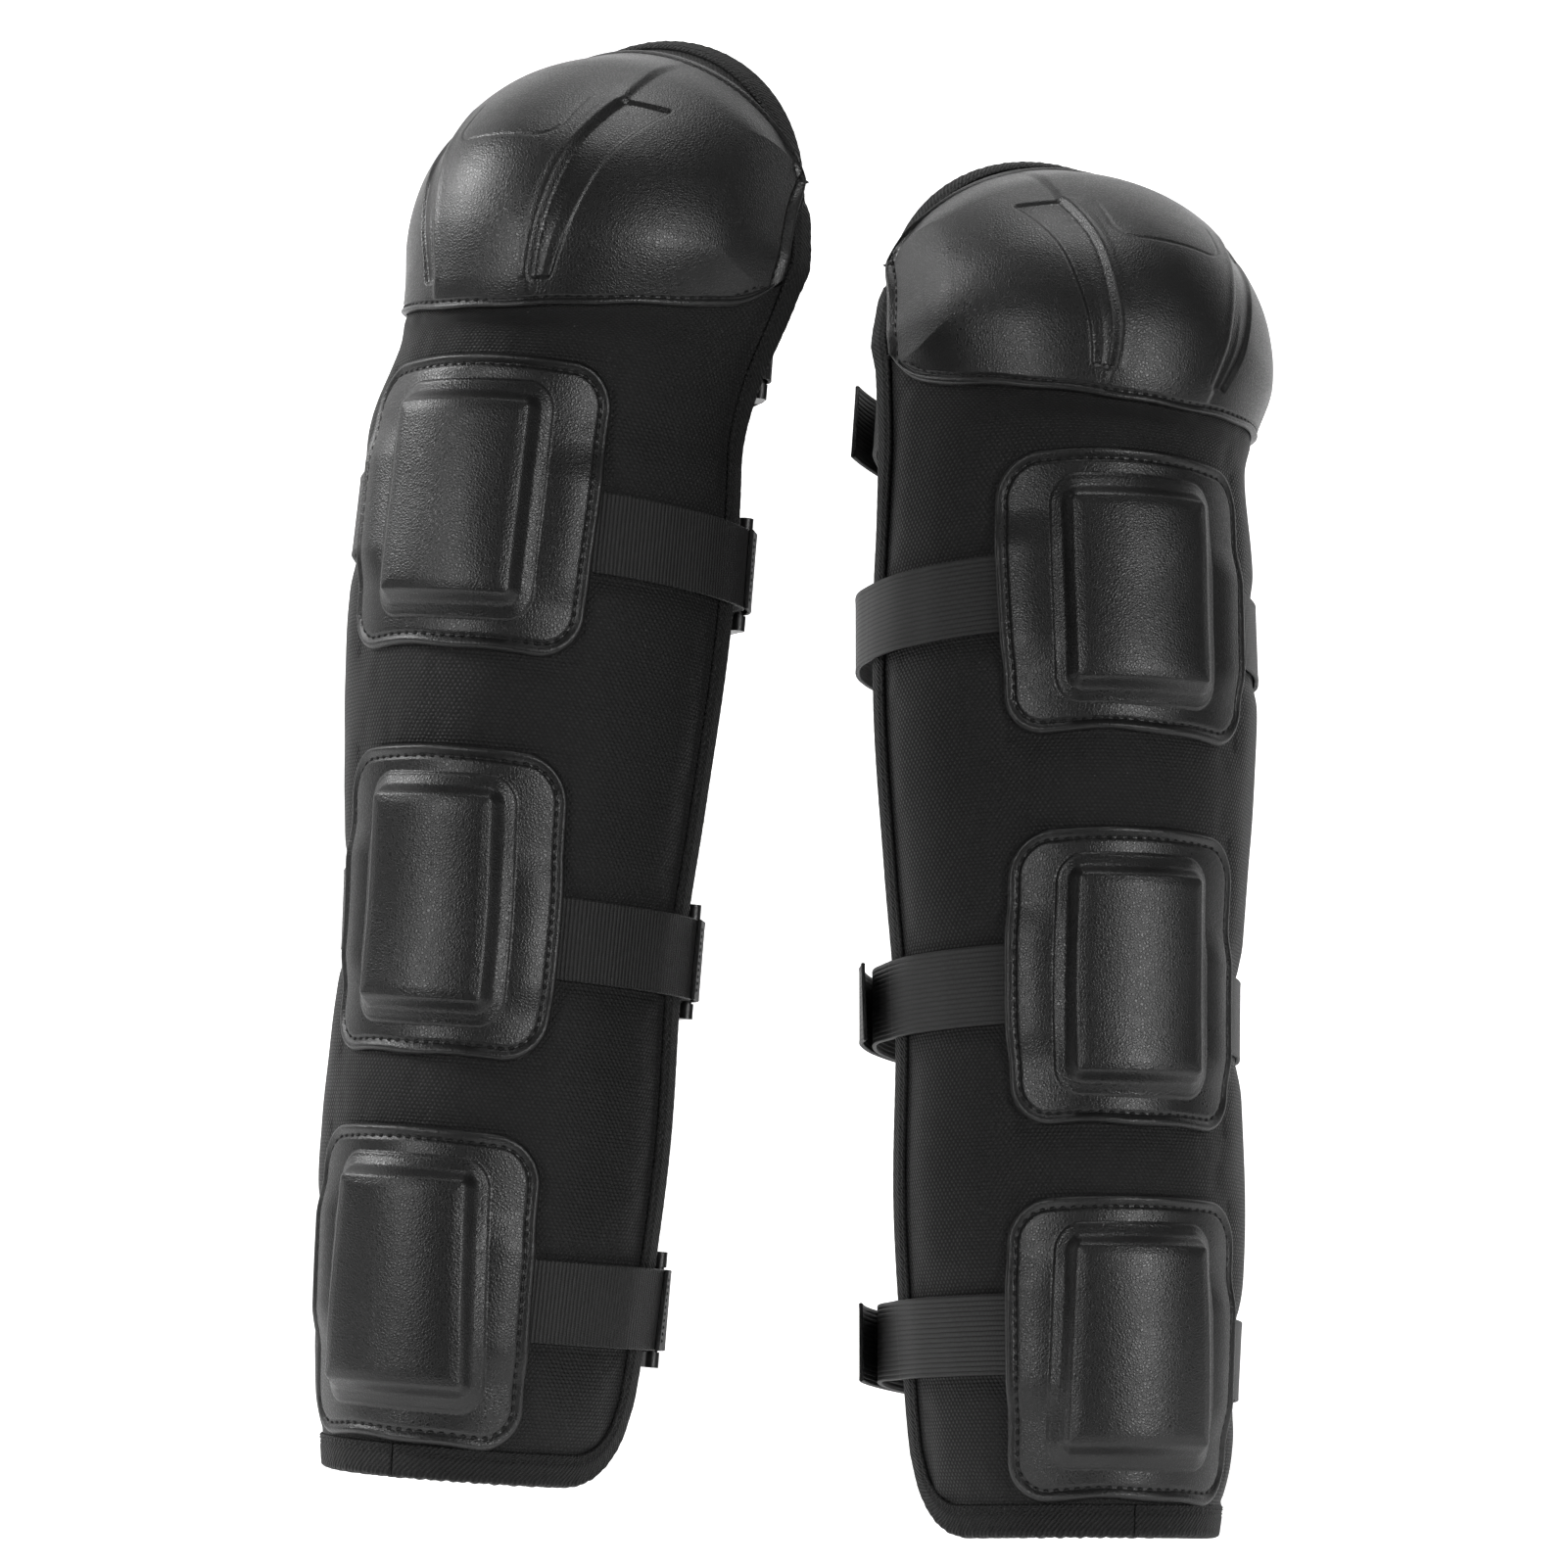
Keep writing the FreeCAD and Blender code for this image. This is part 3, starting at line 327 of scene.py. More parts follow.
# ------------------------------------------------------------------ meshes
class MeshMaker:
    """Collects sheets of points and turns them into one object with measured UVs."""

    def __init__(self, name: str) -> None:
        """Start an empty mesh."""
        self.name = name
        self.points: list[Array] = []
        self.uvs: list[Array] = []
        self.faces: list[Array] = []
        self.slots: list[Array] = []
        self.count = 0

    def add(self, points: Array, uvs: Array, faces: Array) -> None:
        """Add points with one UV each, and faces that index them.

        Args:
            points: (..., 3) places in metres.
            uvs: (..., 2) measured across the cloth in mm.
            faces: (m, 4) or (m, 3) indices into points.
        """
        self.points.append(points.reshape(-1, 3))
        self.uvs.append(uvs.reshape(-1, 2))
        self.faces.append(faces + self.count)
        self.slots.append(np.zeros(len(faces), int))
        self.count += len(self.points[-1])

    @staticmethod
    def outward(points: Array, faces: Sequence[Array]) -> list[Array]:
        """Turn a closed shape's faces so that they look outwards."""
        volume = 0.0
        for group in faces:
            first = points[group[:, 0]]
            for k in range(1, group.shape[1] - 1):
                cross = np.cross(points[group[:, k]] - first, points[group[:, k + 1]] - first)
                volume += float((cross * (first - points[0])).sum())
        return [group[:, ::-1] if volume < 0.0 else group for group in faces]

    @staticmethod
    def grid_faces(rows: int, columns: int, closed: bool = False) -> Array:
        """Number the quads of a grid of points, closed round its columns or not."""
        index = np.arange(rows * columns).reshape(rows, columns)
        if closed:
            index = np.concatenate([index, index[:, :1]], 1)
        a, b = index[:-1, :-1], index[1:, :-1]
        c, d = index[1:, 1:], index[:-1, 1:]
        return np.stack([a, b, c, d], -1).reshape(-1, 4)

    def add_slab(self, top: Array, bottom: Array, uvs: Array, wall_slot: int = 0) -> None:
        """Add a closed slab between two sheets that have the same rows and columns.

        Args:
            top: the upper sheet's points.
            bottom: the lower sheet's points.
            uvs: both sheets' places on the cloth, mm.
            wall_slot: the material slot of the walls round them.
        """
        rows, columns = top.shape[:2]
        upper = self.grid_faces(rows, columns)
        size = rows * columns
        index = np.arange(size).reshape(rows, columns)
        ring = np.concatenate(
            [index[0, :-1], index[:-1, -1], index[-1, :0:-1], index[:0:-1, 0]]
        )
        after = np.roll(ring, -1)
        walls = np.stack([ring, after, after + size, ring + size], -1)
        points = np.concatenate([top.reshape(-1, 3), bottom.reshape(-1, 3)])
        sheets = np.concatenate([upper, upper[:, ::-1] + size])
        sheets, walls = self.outward(points, [sheets, walls])
        self.add(points, np.stack([uvs, uvs]), sheets)
        self.faces.append(walls + self.count - 2 * size)
        self.slots.append(np.full(len(walls), wall_slot))

    def add_tube(self, rings: Array, uvs: Array) -> None:
        """Add a closed sweep of rings with flat ends."""
        rows, columns = rings.shape[:2]
        faces = self.grid_faces(rows, columns, True)
        points, flat_uvs = rings.reshape(-1, 3), uvs.reshape(-1, 2)
        centres = np.stack([rings[0].mean(0), rings[-1].mean(0)])
        ends = np.stack([uvs[0].mean(0), uvs[-1].mean(0)])
        n = rows * columns
        first, last = np.arange(columns), np.arange(n - columns, n)
        cap_a = np.stack([first, np.roll(first, -1), np.full(columns, n)], -1)
        cap_b = np.stack([np.roll(last, -1), last, np.full(columns, n + 1)], -1)
        points = np.concatenate([points, centres])
        faces, caps = self.outward(points, [faces, np.concatenate([cap_a, cap_b])])
        self.add(points, np.concatenate([flat_uvs, ends]), faces)
        self.faces.append(caps + self.count - n - 2)
        self.slots.append(np.zeros(2 * columns, int))

    def make(self, materials: Sequence[bpy.types.Material]) -> bpy.types.Object:
        """Make the object, shaded smoothly.

        Args:
            materials: one material for each slot.

        Returns:
            The new object, linked to the scene.
        """
        mesh = bpy.data.meshes.new(self.name)
        points = np.concatenate(self.points)
        uvs = np.concatenate(self.uvs)
        totals = np.concatenate([np.full(len(f), f.shape[1]) for f in self.faces])
        loops = np.concatenate([f.reshape(-1) for f in self.faces]).astype(np.int32)
        mesh.vertices.add(len(points))
        mesh.vertices.foreach_set("co", points.astype(np.float32).ravel())
        mesh.loops.add(len(loops))
        mesh.loops.foreach_set("vertex_index", loops)
        mesh.polygons.add(len(totals))
        starts = np.concatenate([[0], np.cumsum(totals)[:-1]]).astype(np.int32)
        mesh.polygons.foreach_set("loop_start", starts)
        mesh.update(calc_edges=True)
        layer = mesh.uv_layers.new(name="Cloth")
        layer.data.foreach_set("uv", uvs[loops].astype(np.float32).ravel())
        mesh.polygons.foreach_set("material_index", np.concatenate(self.slots).astype(np.int32))
        mesh.polygons.foreach_set("use_smooth", np.full(len(totals), True))
        mesh.validate()
        mesh.update()
        for material in materials:
            mesh.materials.append(material)
        piece = bpy.data.objects.new(self.name, mesh)
        bpy.context.scene.collection.objects.link(piece)
        return piece


@dataclass(frozen=True)
class Stitching:
    """A row of thread stitches: sizes in mm."""

    pitch: float
    length: float
    width: float
    proud: float
    sink: float

    def add_row(self, maker: MeshMaker, line: Array, normals: Array) -> None:
        """Lay stitches along a line on a surface.

        Args:
            maker: the mesh that the stitches join.
            line: (n, 3) points in metres along the seam.
            normals: (n, 3) outward directions at those points.
        """
        along = arc_lengths(line) / MM
        count = max(int(along[-1] / self.pitch), 1)
        starts = (np.arange(count) + 0.5) * along[-1] / count
        shape = np.array([-0.5, -0.42, -0.22, 0.0, 0.22, 0.42, 0.5]) * self.length
        radii = np.array([0.25, 0.72, 0.97, 1.0, 0.97, 0.72, 0.25]) * self.width / 2
        bow = self.proud - (self.sink + self.proud) * (np.abs(shape) / (self.length / 2)) ** 2.4
        at = np.clip(starts[:, None] + shape[None, :], 0.0, along[-1])
        centre = np.stack([np.interp(at, along, line[:, k]) for k in range(3)], -1)
        up = unit(np.stack([np.interp(at, along, normals[:, k]) for k in range(3)], -1))
        way = unit(centre[:, -1:] - centre[:, :1])
        side = unit(np.cross(way, up))
        turns = np.arange(6) * math.pi / 3
        ring = np.cos(turns)[None, None, :, None] * side[:, :, None, :]
        ring = ring + np.sin(turns)[None, None, :, None] * up[:, :, None, :] * 0.8
        middle = centre + up * (bow * MM)[None, :, None]
        points = middle[:, :, None, :] + ring * (radii * MM)[None, :, None, None]
        uvs = np.zeros(points.shape[:-1] + (2,))
        uvs[..., 0] = at[:, :, None]
        uvs[..., 1] = np.arange(6) * 0.4
        per = MeshMaker.grid_faces(len(shape), 6, True)
        n = len(shape) * 6
        faces = (per[None] + (np.arange(count) * n)[:, None, None]).reshape(-1, 4)
        if maker.outward(points[0].reshape(-1, 3), [per])[0][0, 0] != per[0, 0]:
            faces = faces[:, ::-1]
        maker.add(points, uvs, faces)


EDGE_STITCH = Stitching(pitch=3.9, length=2.9, width=0.85, proud=0.32, sink=0.5)
TAPE_STITCH = Stitching(pitch=3.6, length=2.7, width=0.7, proud=0.12, sink=0.5)
TACK_STITCH = Stitching(pitch=2.4, length=1.9, width=0.6, proud=0.14, sink=0.4)


def arc_lengths(points: Array) -> Array:
    """Measure along a line of points, from 0, in the line's own unit."""
    steps = np.linalg.norm(np.diff(points, axis=0), axis=1)
    return np.concatenate([[0.0], np.cumsum(steps)])


# ------------------------------------------------------------------ moulded shapes
class CupForm:
    """The knee cup's shape over the wrap, in mm."""

    THICKNESS = 2.2
    BOTTOM = 435.0
    TOP = FORM.rim - 22.0
    HALF_ANGLE = 82.0
    CORNER = 26.0
    CORNER_RISE = 17.0
    GAP = 0.45
    PAD = 3.6
    PAD_SLOPE = 34.0
    LAP_RUN = 4.0
    WING_PITCH = 0.2
    RISE = 1.5
    CUT = 1.3
    ANGLE = 18.0
    SPREAD = 13.0
    FOOT = BOTTOM + 11.0
    HEAD = TOP - 52.0
    FOOT_WIDTH = 9.0
    HEAD_WIDTH = 18.0
    PANEL_HALF = 23.0
    PANEL_CORNER = 8.0
    PANEL_BOTTOM = 500.0
    PANEL_TOP = 529.0

    @classmethod
    def bottom(cls, theta: Array) -> Array:
        """Give the girth of the cup's lower edge, lifted at the wing corners."""
        past = np.radians(np.abs(theta) - cls.HALF_ANGLE) * FORM.radius(cls.BOTTOM)
        return cls.BOTTOM + cls.CORNER_RISE * np.maximum(1.0 + past / cls.CORNER, 0.0) ** 3

    @classmethod
    def depth(cls, theta: Array, v: Array) -> Array:
        """Give how far a place is inside the cup's outline, mm."""
        side = FORM.width(cls.HALF_ANGLE - np.abs(theta), v)
        girth = np.minimum(v - cls.bottom(theta), cls.TOP - v)
        both = np.hypot(np.minimum(side - 6.0, 0.0), np.minimum(girth - 6.0, 0.0))
        return np.minimum(np.minimum(side, girth), 6.0 - both)

    @classmethod
    def pad(cls, theta: Array, v: Array) -> Array:
        """Give the thickness of the pad under the cup."""
        side = FORM.width(cls.HALF_ANGLE - np.abs(theta), v)
        depth = np.minimum(np.minimum(side, v - cls.bottom(theta)), cls.TOP - v)
        return cls.PAD * smooth(depth / cls.PAD_SLOPE)

    @classmethod
    def lap(cls, theta: Array, v: Array) -> Array:
        """Give how far the cup's edge rises over the binding tape."""
        side = FORM.from_side(theta, v)
        pitch = cls.WING_PITCH + (1.0 - cls.WING_PITCH) * np.cos(np.radians(theta))
        over = 10.0 + cls.LAP_RUN - np.minimum(side, (FORM.rim - v) * pitch)
        return (1.1 + SEAM_GAP) * smooth(over / cls.LAP_RUN + 0.3)

    @classmethod
    def relief(cls, theta: Array, v: Array) -> Array:
        """Give the raised centre panel's height, less the channel on each side of it."""
        share = np.clip((v - cls.FOOT) / (cls.HEAD - cls.FOOT), 0.0, 1.0)
        centre = cls.ANGLE + cls.SPREAD * share**1.1
        width = cls.FOOT_WIDTH + (cls.HEAD_WIDTH - cls.FOOT_WIDTH) * share**0.55
        across = FORM.width(np.abs(theta) - centre, v)
        beyond = smooth((across + width / 2) / 3.4)
        within = smooth((width / 2 - across) / 1.3)
        foot = smooth((v - cls.FOOT) / 2.2)
        head = smooth((cls.HEAD + 0.22 * (across + 6.0) - v) / 3.2)
        fade = smooth((v - cls.BOTTOM) / 14.0) * smooth((cls.TOP - v) / 30.0)
        lip = 0.35 * bell(across + width / 2 + 1.2, 1.6) * foot * head
        rib = 0.35 * bell(across - 0.08 * width, 1.1) * smooth((0.55 - share) / 0.3)
        floor = cls.CUT * beyond * within * foot * head - rib * foot * within
        return cls.RISE * (1.0 - beyond) * fade + lip * fade - floor

    @classmethod
    def panel(cls, theta: Array, v: Array) -> Array:
        """Give the depth of the fine pressed line that frames the upper centre."""
        past = np.abs(FORM.width(theta, v)) - cls.PANEL_HALF + cls.PANEL_CORNER
        below = cls.PANEL_BOTTOM - v + cls.PANEL_CORNER
        line = bell(inside_box(past, below, cls.PANEL_CORNER), 0.55)
        return 0.4 * line * smooth((cls.PANEL_TOP - v) / 8.0)


@dataclass(frozen=True)
class PlateForm:
    """One moulded shin plate: the outline and its raised pad, mm."""

    name: str
    bottom: float
    top: float
    bottom_half: float
    top_half: float
    pad_bottom: float
    pad_top: float
    pad_half: float
    pad_lean: float
    strap: str

    THICKNESS = 2.0
    CORNER = 17.0
    CROWN = 2.0
    SWEEP = 80.0
    PAD_CORNER = 11.0
    PAD_CROWN = 1.2

    def half_at(self, v: Array) -> Array:
        """Give the plate's half width at girth v."""
        share = np.clip((v - self.bottom) / (self.top - self.bottom), 0.0, 1.0)
        return self.bottom_half + (self.top_half - self.bottom_half) * share

    def point(self, u: Array, w: Array) -> tuple[Array, Array]:
        """Give (width round the wrap, girth) of the plate's own place u, w in -1..1."""
        u, w = np.broadcast_arrays(u, w)
        half = 0.5 * (self.bottom_half + self.top_half)
        half_height = 0.5 * (self.top - self.bottom)
        radius = self.CORNER
        straight = (half - radius) / (half - radius + radius * math.pi / 2)
        swing = math.radians(self.SWEEP) * np.clip((np.abs(u) - straight) / (1 - straight), 0, 1)
        inside = np.abs(u) <= straight
        x = np.where(
            inside, np.abs(u) / straight * (half - radius), half - radius + radius * np.sin(swing)
        )
        rise = np.where(inside, half_height, half_height - radius * (1.0 - np.cos(swing)))
        v = 0.5 * (self.top + self.bottom) + w * rise
        share = (v - self.bottom) / (self.top - self.bottom)
        x = x * (self.bottom_half + (self.top_half - self.bottom_half) * share) / half
        return np.copysign(x, u), v + self.CROWN * (1.0 - (x / half) ** 2)

    def depth(self, x: Array, v: Array) -> Array:
        """Give how far a place is inside the plate's outline, mm."""
        half = 0.5 * (self.bottom_half + self.top_half)
        middle = v - self.CROWN * (1.0 - (x / half) ** 2)
        qx = np.abs(x) - self.half_at(middle) + self.CORNER
        qv = np.abs(middle - 0.5 * (self.top + self.bottom))
        qv = qv - 0.5 * (self.top - self.bottom) + self.CORNER
        return inside_box(qx, qv, self.CORNER)

    def pad_depth(self, x: Array, v: Array) -> Array:
        """Give how far a place is inside the raised pad's outline, mm."""
        half_v = 0.5 * (self.pad_top - self.pad_bottom)
        dv = v - self.CROWN - 0.5 * (self.pad_bottom + self.pad_top)
        lean = self.pad_lean * (half_v - dv) / (2 * half_v)
        qx = np.abs(x) - self.pad_half - lean + self.PAD_CORNER
        qz = np.abs(dv) - half_v + self.PAD_CORNER
        return inside_box(qx, qz, self.PAD_CORNER)

    def pad_rise(self, x: Array, v: Array) -> Array:
        """Give the raised pad's height: a fold, a narrow shelf, the wall and the top."""
        depth = self.pad_depth(x, v)
        rise = 0.9 * smooth(depth / 1.1) + 1.3 * smooth((depth - 0.9) / 4.5)
        rise = rise + 5.4 * smooth((depth - 4.4) / 5.4) + 0.4 * smooth((depth - 9.0) / 4.0)
        crown = 1.0 - (x / self.pad_half) ** 2
        return rise + self.PAD_CROWN * crown * smooth(depth / 16.0)

    def strap_room(self, x: Array, v: Array) -> Array:
        """Give how far the plate lifts over the strap ends sewn under it."""
        strap = STRAP_BY_NAME[self.strap]
        level = strap.height + np.where(x < 0, STRAP_RISE, 0.0)
        reach = np.abs(x) - strap.sewn_width() + 22.0
        across = STRAP_WIDTH / 2 + 17.0 - np.abs(v - level)
        return (STRAP_LIFT + STRAP_THICK + SEAM_GAP) * smooth(reach / 22.0) * smooth(across / 16.0)


@dataclass(frozen=True)
class StrapForm:
    """One strap: where it crosses, how long its tail is, and its plate."""

    name: str
    height: float
    tail: float
    plate: Optional[str]

    def sewn_width(self) -> float:
        """Give how far round the wrap from the front its sewn end starts, mm."""
        if self.plate is None:
            return float(FORM.radius(self.height) * math.pi / 2) - 20.0
        return float(PLATE_BY_NAME[self.plate].half_at(self.height)) - 9.0


STRAP_WIDTH = 30.0
STRAP_THICK = 1.5
STRAP_RISE = 8.0
STRAP_LIFT = 0.6
# name, bottom, top, half widths there; pad's bottom, top, half width, lean; strap
PLATES = (
    PlateForm("upper", 293.0, 400.0, 55.0, 57.0, 303.0, 390.0, 35.0, 0.0, "upper"),
    PlateForm("middle", 147.0, 258.0, 50.5, 52.5, 157.0, 248.0, 33.0, 0.0, "middle"),
    PlateForm("lower", 9.0, 121.0, 52.0, 53.5, 20.0, 111.0, 34.0, 3.0, "ankle"),
)
PLATE_BY_NAME = {plate.name: plate for plate in PLATES}
# name, height up the shin, free tail, the plate it is sewn under
STRAPS = (
    StrapForm("knee", 428.0, 78.0, None),
    StrapForm("upper", 341.0, 60.0, "upper"),
    StrapForm("middle", 194.0, 128.0, "middle"),
    StrapForm("ankle", 64.0, 112.0, "lower"),
)
STRAP_BY_NAME = {strap.name: strap for strap in STRAPS}


# ------------------------------------------------------------------ shader building
class Value:
    """A node's output, reckoned with like a number."""

    def __init__(self, sketch: "Sketch", socket: bpy.types.NodeSocket) -> None:
        """Keep the output and the sketch it lies in."""
        self.sketch = sketch
        self.socket = socket

    def __add__(self, other: object) -> "Value":
        """Lay a Math node that adds."""
        return self.sketch.math("ADD", self, other)

    def __sub__(self, other: object) -> "Value":
        """Lay a Math node that subtracts."""
        return self.sketch.math("SUBTRACT", self, other)

    def __mul__(self, other: object) -> "Value":
        """Lay a Math node that multiplies."""
        return self.sketch.math("MULTIPLY", self, other)

    def __truediv__(self, other: object) -> "Value":
        """Lay a Math node that divides."""
        return self.sketch.math("DIVIDE", self, other)


class Sketch:
    """Short hands for laying nodes in one tree."""

    def __init__(self, tree: bpy.types.NodeTree) -> None:
        """Keep the tree that nodes are laid in."""
        self.tree = tree
        self.column = 0

    def node(self, kind: str, **settings: object) -> bpy.types.Node:
        """Lay one node and set its properties."""
        node = self.tree.nodes.new(kind)
        node.location = (self.column * 190.0, -(self.column % 5) * 130.0)
        self.column += 1
        for name, value in settings.items():
            setattr(node, name, value)
        return node

    def feed(self, socket: bpy.types.NodeSocket, value: object) -> None:
        """Link an output into a socket, or write a plain value on it."""
        if isinstance(value, Value):
            self.tree.links.new(value.socket, socket)
        elif value is not None:
            socket.default_value = value

    def read(self, node: bpy.types.Node, output: object, *values: object) -> Value:
        """Feed a node's inputs in order and give one of its outputs."""
        for socket, value in zip(node.inputs, values):
            self.feed(socket, value)
        return Value(self, node.outputs[output])

    def math(self, kind: str, *values: object, clamp: bool = False) -> Value:
        """Lay a Math node."""
        return self.read(self.node("ShaderNodeMath", operation=kind, use_clamp=clamp), 0, *values)

    def vector(self, kind: str, *values: object) -> Value:
        """Lay a Vector Math node."""
        node = self.node("ShaderNodeVectorMath", operation=kind)
        return self.read(node, 1 if kind == "LENGTH" else 0, *values)

    def scaled(self, vector: Value, scale: float) -> Value:
        """Scale a vector by one number."""
        node = self.node("ShaderNodeVectorMath", operation="SCALE")
        self.feed(node.inputs["Scale"], scale)
        return self.read(node, 0, vector)

    def split(self, vector: Value) -> tuple[Value, ...]:
        """Split a vector into x, y and z."""
        node = self.node("ShaderNodeSeparateXYZ")
        return tuple(self.read(node, k, vector) for k in range(3))

    def join(self, x: object, y: object) -> Value:
        """Join x and y into a vector."""
        return self.read(self.node("ShaderNodeCombineXYZ"), 0, x, y)

    def remap(
        self, value: Value, low: object, high: object, to_low: float = 0.0, to_high: float = 1.0
    ) -> Value:
        """Map a range to another with soft ends."""
        node = self.node("ShaderNodeMapRange", interpolation_type="SMOOTHSTEP")
        return self.read(node, 0, value, low, high, to_low, to_high)

    def texture(self, kind: str, output: str, vector: Value, **inputs: object) -> Value:
        """Lay a texture node on a vector and give one of its outputs."""
        settings = {k: inputs.pop(k) for k in ("feature", "noise_dimensions") if k in inputs}
        node = self.node(f"ShaderNodeTex{kind}", **settings)
        self.feed(node.inputs["Vector"], vector)
        for name, value in inputs.items():
            self.feed(node.inputs[name], value)
        return Value(self, node.outputs[output])

    def noise(self, vector: Value, scale: float, detail: float = 3.0) -> Value:
        """Lay a Noise texture and give its value."""
        return self.texture("Noise", "Fac", vector, Scale=scale, Detail=detail)

    def wave(self, value: Value, turns: float) -> Value:
        """Give the sine of a value times a number."""
        return self.math("SINE", value * turns)

    def blend(self, share: object, first: object, second: object) -> Value:
        """Mix two colours by a share."""
        node = self.node("ShaderNodeMix", data_type="RGBA")
        for index, value in ((0, share), (6, first), (7, second)):
            self.feed(node.inputs[index], value)
        return Value(self, node.outputs[2])


class Effect(Enum):
    """The shared surface effects, each one node group, with its numbers' usual values."""

    DOT_WEAVE = ("Raised dot weave", {"Pitch": 1.9, "Thread": 0.5})
    PEBBLE = ("Pebble grain", {"Size": 0.9, "Crease": 0.35})
    TWILL = ("Diagonal twill", {"Pitch": 1.7, "Slant": 0.9})
    RIBBING = ("Woven ribbing", {"Pitch": 1.7, "Thread": 0.55})
    KNIT = ("Spacer knit", {"Pitch": 2.6})
    WEAR = ("Lint and rub", {"Lint": 0.5})


class EffectGroup:
    """One effect's node group while it is being built."""

    def __init__(self, effect: Effect) -> None:
        """Start a group that takes a Vector in mm and the effect's numbers."""
        title, numbers = effect.value
        self.tree = bpy.data.node_groups.new(title, "ShaderNodeTree")
        faces = self.tree.interface
        faces.new_socket("Vector", in_out="INPUT", socket_type="NodeSocketVector")
        for name, value in numbers.items():
            socket = faces.new_socket(name, in_out="INPUT", socket_type="NodeSocketFloat")
            socket.default_value = value
        self.sketch = Sketch(self.tree)
        inlet = self.sketch.node("NodeGroupInput")
        self.given = {name: Value(self.sketch, inlet.outputs[name]) for name in numbers}
        self.place = Value(self.sketch, inlet.outputs["Vector"])

    def finish(self, **outputs: Value) -> bpy.types.NodeTree:
        """Lead the results out of the group and give the group."""
        for name in outputs:
            self.tree.interface.new_socket(name, in_out="OUTPUT", socket_type="NodeSocketFloat")
        outlet = self.sketch.node("NodeGroupOutput")
        for name, value in outputs.items():
            self.sketch.feed(outlet.inputs[name], value)
        return self.tree


def staggered(group: EffectGroup, px: Value, py: Value) -> tuple[Value, Value, Value, Value]:
    """Lay cells in rows, each row half a cell on from the last.

    Args:
        group: the group being built.
        px: place along the rows, in cells.
        py: place across the rows, in rows.

    Returns:
        The place from the cell's middle, x and y, and the cell's column and row.
    """
    sk = group.sketch
    row = sk.math("FLOOR", py)
    px = px + sk.math("FLOORED_MODULO", row, 2.0) * 0.5
    return sk.math("FRACT", px) - 0.5, sk.math("FRACT", py) - 0.5, sk.math("FLOOR", px), row


